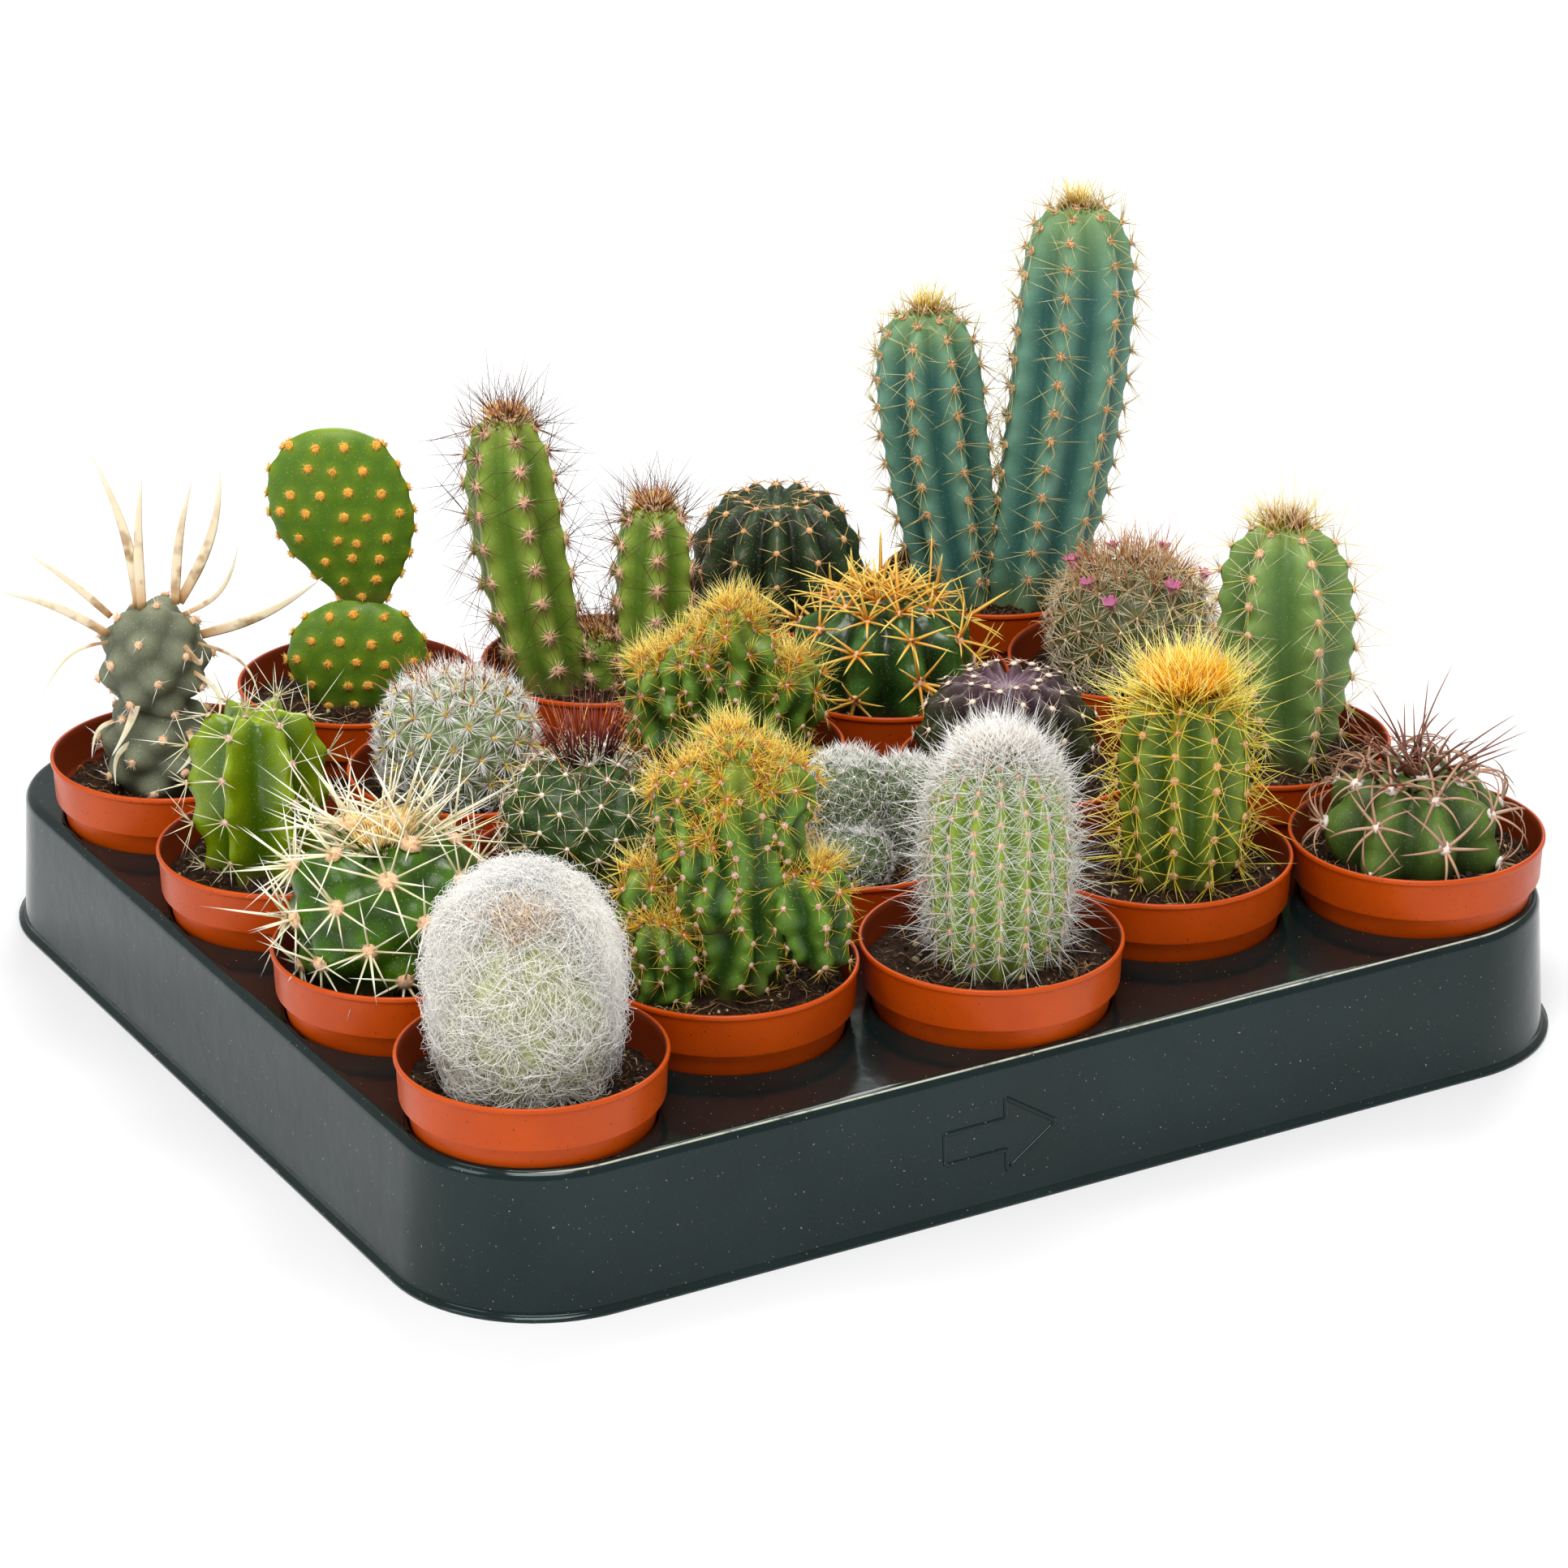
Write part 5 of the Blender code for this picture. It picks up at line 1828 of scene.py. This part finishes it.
# ------------------------------------------------------------------ special plants
@dataclass(frozen=True)
class OldMan:
    """A column wrapped in long white wool that is open on its front, with a peach tuft."""

    form: Form = Form(-1.0, 17.7, 14.0, 14.0, 36.2, squareness=2.4)
    clumps: int = 300
    strands: int = 3100
    hairs: int = 6600
    tuft: int = 420
    thickness: float = 1.7
    seed: int = 77

    def build(self, place: Potted) -> None:
        """Builds the skin and the wool.

        Args:
            place: the pot's place in the frame.
        """
        rng = np.random.default_rng(self.seed)
        body = place.body(self.form, Lattice(SPIRAL, 4.0, 0.6, 2.0), self.seed)
        slot = "old_man_flesh"
        skin = Surface()
        body.add_to(skin, 96, 60)
        flesh = Flesh("old_man_skin", "C6CC92", "A2AC68")
        show("old_man_skin", skin.mesh("skin"), flesh, slot, "old_man_cactus")
        felt = Felt("old_man_felt", "FFFDF8", "FBF7EE")
        show("old_man_fleece", self.fleece(body).mesh("fleece"), felt, slot)
        wool, cap, tuft = Surface(), Surface(), Surface()
        self.add_wool(wool, body, rng)
        fleece = Horn("cream_wool", "F8F3E2", "FFFEF8", 0.7, 0.5)
        show("old_man_wool", wool.mesh("wool"), fleece, slot)
        self.add_cap(cap, body, rng)
        show("old_man_cap", cap.mesh("cap"), HAIR, slot)
        self.add_tuft(tuft, body, rng)
        show("old_man_tuft", tuft.mesh("tuft"), PEACH_HAIR, slot)

    def lower_edge(self, theta: np.ndarray) -> np.ndarray:
        """How far down the thick wool comes: near the foot, but high up on the front."""
        turn = np.angle(np.exp(1j * (theta + math.pi / 2)))
        return 0.08 + 0.70 * np.exp(-(turn / 1.02) ** 4)

    def fleece(self, body: Body) -> Surface:
        """The thick wool's own surface.

        It lies on the skin at its lower edge and rises to its thickness over a short way, with
        ripples of 6 mm and 2 mm.
        """
        rows, columns = 70, 160
        theta = turns(columns)
        low = self.lower_edge(theta)
        share = np.linspace(0, 1, rows)[:, None]
        a = low[None] + (0.9995 - low[None]) * share
        angle = np.broadcast_to(theta, a.shape)
        flat = body.base_points(angle, a)
        lift = self.thickness * (1 - np.exp(-(a - low) / 0.06)) - 0.2
        lift = lift + ripple(flat, 6.0, 5) * 0.25 + ripple(flat, 2.0, 6) * 0.12
        points = body.base_points(angle, a, lift * MM)
        count = rows * columns
        made = Surface()
        made.add(np.concatenate([points.reshape(-1, 3), [points[-1].mean(0)]]),
                 grid_quads(rows, columns, True), fan(count - columns, columns, count))
        return made

    def add_wool(self, surface: Surface, body: Body, rng: Generator) -> None:
        """Adds the curly strands over the open front.

        They grow in clumps that are spread evenly, by steps of the golden ratio. A
        strand starts on the skin, stands off by a bow of sine height, runs over the
        surface and curls from side to side.
        """
        count, clumps = self.strands, self.clumps
        clump = rng.integers(0, clumps, count)
        spread = (0.618034 * np.arange(clumps)) % 1.0
        theta = (-math.pi / 2 + 2.7 * (spread - 0.5))[clump] + rng.normal(0, 0.05, count)
        a = (0.02 + 0.84 * np.arange(clumps) / clumps)[clump] + rng.normal(0, 0.015, count)
        a = np.clip(a, 0.02, 0.9)
        place, out, up = body.frames(theta, a)
        side = np.cross(up, out)
        t = shares(10)
        heading = rng.normal(0, 1.2, clumps)[clump] + rng.normal(0, 0.5, count)
        run = unit(swing(heading, -up, side))
        size = MM * rng.uniform(4.0, 12.0, (count, 1, 1))
        bow = MM * rng.uniform(0.6, 3.0, (count, 1, 1))
        curl = rng.normal(0, 1.1, (count, 1, 1)) * MM
        wave = np.sin(t * math.pi * rng.uniform(1.0, 3.0, (count, 1, 1)) + rng.uniform(0, 6, (count, 1, 1)))
        across = np.cross(out, run)
        sag = -(t ** 2) * size ** 2 / (2.6 * self.form.radius * MM)
        paths = (place[:, None, :] + out[:, None, :] * (bow * np.sin(t * math.pi * 0.85) + sag * 0.7)
                 + run[:, None, :] * size * t + across[:, None, :] * curl * wave * t)
        radii = 0.09 * MM * (1 - 0.6 * t[..., 0]) * rng.uniform(0.5, 1.6, (count, 1))
        add_strands(surface, paths, radii, 3, rng.random(count) * 0.6)

    def add_cap(self, surface: Surface, body: Body, rng: Generator) -> None:
        """Adds the fine hairs that lie on the thick wool and stand off its outline."""
        count = self.hairs
        theta = rng.uniform(0, TURN, count)
        low = self.lower_edge(theta) - 0.04
        a = low + (0.995 - low) * rng.random(count) ** 0.85
        place, out, up = body.frames(theta, a)
        t = shares(5)
        along = unit(rng.normal(0, 1.0, (count, 3)) - up * 0.5)
        along = unit(along - out * np.sum(along * out, -1, keepdims=True))
        size = MM * rng.uniform(2.5, 7.5, (count, 1, 1))
        bow = MM * (0.3 + 2.6 * rng.random((count, 1, 1)) ** 3)
        sag = -(t ** 2) * size ** 2 / (2.2 * self.form.radius * MM)
        curl = rng.normal(0, 0.45, (count, 1, 3)) * MM
        paths = (place[:, None, :] + out[:, None, :] * (1.2 * MM + bow * np.sin(t * math.pi * 0.9) + sag)
                 + along[:, None, :] * size * t + curl * np.sin(t * 6.0))
        radii = 0.065 * MM * (1 - 0.5 * t[..., 0]) * np.ones((count, 1))
        add_strands(surface, paths, radii, 3, rng.random(count) * 0.4)

    def add_tuft(self, surface: Surface, body: Body, rng: Generator) -> None:
        """Adds the peach hairs at the upper end of the open front."""
        count = self.tuft
        theta = -math.pi / 2 + rng.normal(0, 0.24, count)
        a = np.clip(0.765 + rng.normal(0, 0.035, count), 0, 0.97)
        place, out, up = body.frames(theta, a)
        way = unit(out * 0.8 + up * rng.normal(0.1, 0.7, (count, 1)) + rng.normal(0, 0.5, (count, 3)))
        size = MM * rng.uniform(2.5, 4.6, (count, 1, 1))
        t = shares(3)
        paths = (place + out * 1.6 * MM)[:, None, :] + way[:, None, :] * size * t
        radii = 0.1 * MM * (1 - 0.7 * t[..., 0]) * np.ones((count, 1))
        add_strands(surface, paths, radii, 3, rng.random(count))


@dataclass(frozen=True)
class Ribbon:
    """A flat papery spine from its root to its tip, in millimetres.

    root and tip: sideways, towards the front, and above the rim; width: at its widest;
    bow: how far its middle stands off, sideways and upwards.
    """

    root: tuple
    tip: tuple
    width: float = 2.6
    bow: tuple = (0.0, 0.0)


@dataclass(frozen=True)
class PaperSpine:
    """Two stacked knobbly segments with long flat papery spines."""

    seed: int = 55
    ribbons: tuple = (
        Ribbon((-13.0, 2, 28.4), (-37.5, 4, 39.6), 2.4, (0.5, 1.6)),
        Ribbon((-12.6, -1, 31.4), (-31.0, 0, 47.4), 2.0, (0.2, 0.8)),
        Ribbon((-6.3, 0, 33.6), (-15.9, 0, 72.0), 2.7, (2.2, 0.0)),
        Ribbon((-5.4, 2, 34.2), (-3.7, 3, 67.4), 2.6, (-0.8, 0.0)),
        Ribbon((1.8, 1, 35.0), (7.1, 2, 65.4), 2.4, (-1.0, 0.0)),
        Ribbon((2.6, 0, 35.0), (12.8, -2, 66.4), 2.6, (2.6, 0.0)),
        Ribbon((3.6, 2, 33.0), (16.7, 4, 51.4), 1.4, (2.4, -2.6)),
        Ribbon((7.2, 2, 28.2), (34.7, 4, 42.4), 2.7, (1.0, -1.6)),
        Ribbon((-5.8, 9, 21.6), (-12.7, 13, 3.6), 2.6, (1.6, 0.0)),
        Ribbon((4.0, 8, 28.0), (8.4, 12, 28.6), 2.2, (1.2, -3.4)),
        Ribbon((-13.0, 3, 27.0), (-29.0, 6, 13.0), 0.9, (-1.0, 4.0)),
        Ribbon((6.6, 3, 26.6), (20.0, 6, 13.4), 0.9, (3.0, 2.4)),
        Ribbon((-6.0, 8, 6.0), (-12.0, 12, -4.0), 1.6, (-2.4, 2.0)),
        Ribbon((4.0, 8, 8.0), (1.0, 12, -1.0), 1.8, (2.6, 0.0)),
        Ribbon((5.6, 6, 21.0), (10.5, 10, 10.0), 1.2, (3.0, 1.0)),
        Ribbon((-12.4, 5, 9.0), (-17.5, 8, 1.0), 1.2, (-1.2, 2.0)),
        Ribbon((-7.0, -8, 22.0), (-12.0, -26, 20.0), 2.4, (0.0, 2.0)),
        Ribbon((2.0, -8, 20.0), (6.0, -24, 14.0), 2.4, (0.0, 2.0)),
    )

    def build(self, place: Potted) -> None:
        """Builds the segments and their spines.

        Args:
            place: the pot's place in the frame.
        """
        species = Species(
            "paper_spine", Flesh("paper_skin", "80856C", "4E5344", young="868A70", roughness=0.6, coat=0.0),
            Lattice(SPIRAL, 7.6, 3.2, 3.6, low=0.1),
            (Form(-3.8, 9.6, 7.5, 2.0, 12.5, turn=0.7),
             Form(-3.4, 9.4, 4.5, 20.5, 33.0, foot_z=9.5, turn=-1.2)),
            (Spines(WHITE, 2, 4.0, 0.25, tilt=60, jitter=0.5),
             Spines(TAN_HAIR, 12, 1.8, 0.22, tilt=45, jitter=0.5)),
            Cushion(PEACH, 1.05, 0.8, hairs=20, hair=1.1), seed=self.seed)
        place.grow(species)
        right = np.array([math.cos(SPREAD_ANGLE), math.sin(SPREAD_ANGLE), 0.0])
        front = np.array([math.sin(SPREAD_ANGLE), -math.cos(SPREAD_ANGLE), 0.0])
        axes = np.stack([right, front, np.array([0.0, 0.0, 1.0])]) * MM
        origin = np.array([place.centre.x, place.centre.y, place.rim_z])
        t = shares(16)
        root = origin + np.array([r.root for r in self.ribbons]) @ axes
        tip = origin + np.array([r.tip for r in self.ribbons]) @ axes
        bow = np.array([(r.bow[0], 0.0, r.bow[1]) for r in self.ribbons]) @ axes
        paths = (root[:, None, :] * (1 - t) + tip[:, None, :] * t
                 + bow[:, None, :] * np.sin(t * math.pi))
        width = np.array([r.width for r in self.ribbons])[:, None] / 2 * MM
        radii = width * np.clip(1.1 - t[..., 0] ** 1.5, 0.04, 1) * (0.8 + 0.2 * np.sin(t[..., 0] * 3.1))
        across = np.cross(tip - root, front)
        surface = Surface()
        tone = np.linspace(0, 1, len(self.ribbons))
        add_strands(surface, paths, radii, 8, tone, across, 0.14)
        show("paper_spine_ribbons", surface.mesh("ribbons"), Paper(), "paper_spine_flesh")


@dataclass(frozen=True)
class Blossoms:
    """A ring of small pink flowers round the upper part of a pincushion."""

    count: int = 7
    petals: int = 10
    rise: float = 0.64
    size: float = 5.0

    def build(self, body: Body) -> None:
        """Builds the flowers.

        A petal is a grid: it goes out by t along the flower's axis and its own heading,
        its width is that of sin(pi t) and its tip curls out.

        Args:
            body: the body that carries the ring.
        """
        rng = np.random.default_rng(12)
        theta = turns(self.count) + rng.normal(0, 0.12, self.count)
        a = self.rise + rng.normal(0, 0.03, self.count)
        spot, out, up = body.frames(theta, a)
        flowers = Surface()
        rows, columns = 6, 4
        t, w = np.meshgrid(np.linspace(0, 1, rows), np.linspace(-1, 1, columns), indexing="ij")
        for number in range(self.count):
            axis = unit(out[number] + up[number] * 0.5)
            first = unit(np.cross(axis, [0.2, 0.1, 1.0]))
            second = np.cross(axis, first)
            size = self.size * MM * rng.uniform(0.8, 1.15)
            base = spot[number] + axis * 1.2 * MM
            for petal in range(self.petals):
                spin = TURN * (petal + 0.5 * (petal % 2)) / self.petals
                head = math.cos(spin) * first + math.sin(spin) * second
                tang = np.cross(axis, head)
                reach = size * (0.12 * t + 0.28 * t ** 2)
                height = size * (0.95 * t - 0.25 * t ** 3)
                wide = size * 0.17 * np.sin(math.pi * (0.15 + 0.8 * t)) * w
                points = (base + height[..., None] * axis + reach[..., None] * head + wide[..., None] * tang)
                shell = points + (0.10 * MM) * head
                both = np.concatenate([points.reshape(-1, 3), shell.reshape(-1, 3)])
                quads = grid_quads(rows, columns, False)
                n = rows * columns
                rim = self.rim(rows, columns)
                band = np.stack([rim, np.roll(rim, -1), np.roll(rim, -1) + n, rim + n], -1)
                flowers.add(both, np.concatenate([quads, quads[:, ::-1] + n, band[:, ::-1]]), (),
                            along=np.tile(t.ravel(), 2))
        show("pink_crown_flowers", flowers.mesh("flowers"), Petal(), "pink_crown_flesh")

    def rim(self, rows: int, columns: int) -> np.ndarray:
        """Vertex numbers round the edge of a grid."""
        grid = np.arange(rows * columns).reshape(rows, columns)
        return np.concatenate([grid[0, :-1], grid[:-1, -1], grid[-1, :0:-1], grid[:0:-1, 0]])


def main() -> None:
    """Builds the studio, the tray, the pots, their mix and the plants."""
    logging.basicConfig(level=logging.INFO, format="%(message)s")
    Studio().build()
    names = sorted(node[4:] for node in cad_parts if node.startswith("pot_"))
    places = {name: Potted(name) for name in names}
    Tray().build(list(places.values()))
    for number, place in enumerate(places.values()):
        Pot().build(place)
        Filling().build(place, number)
    for species in PLANTS:
        bodies = places[species.name].grow(species)
        if species.name == "pink_crown":
            Blossoms().build(bodies[0])
    OldMan().build(places["old_man"])
    PaperSpine().build(places["paper_spine"])


if __name__ == "__main__":
    main()
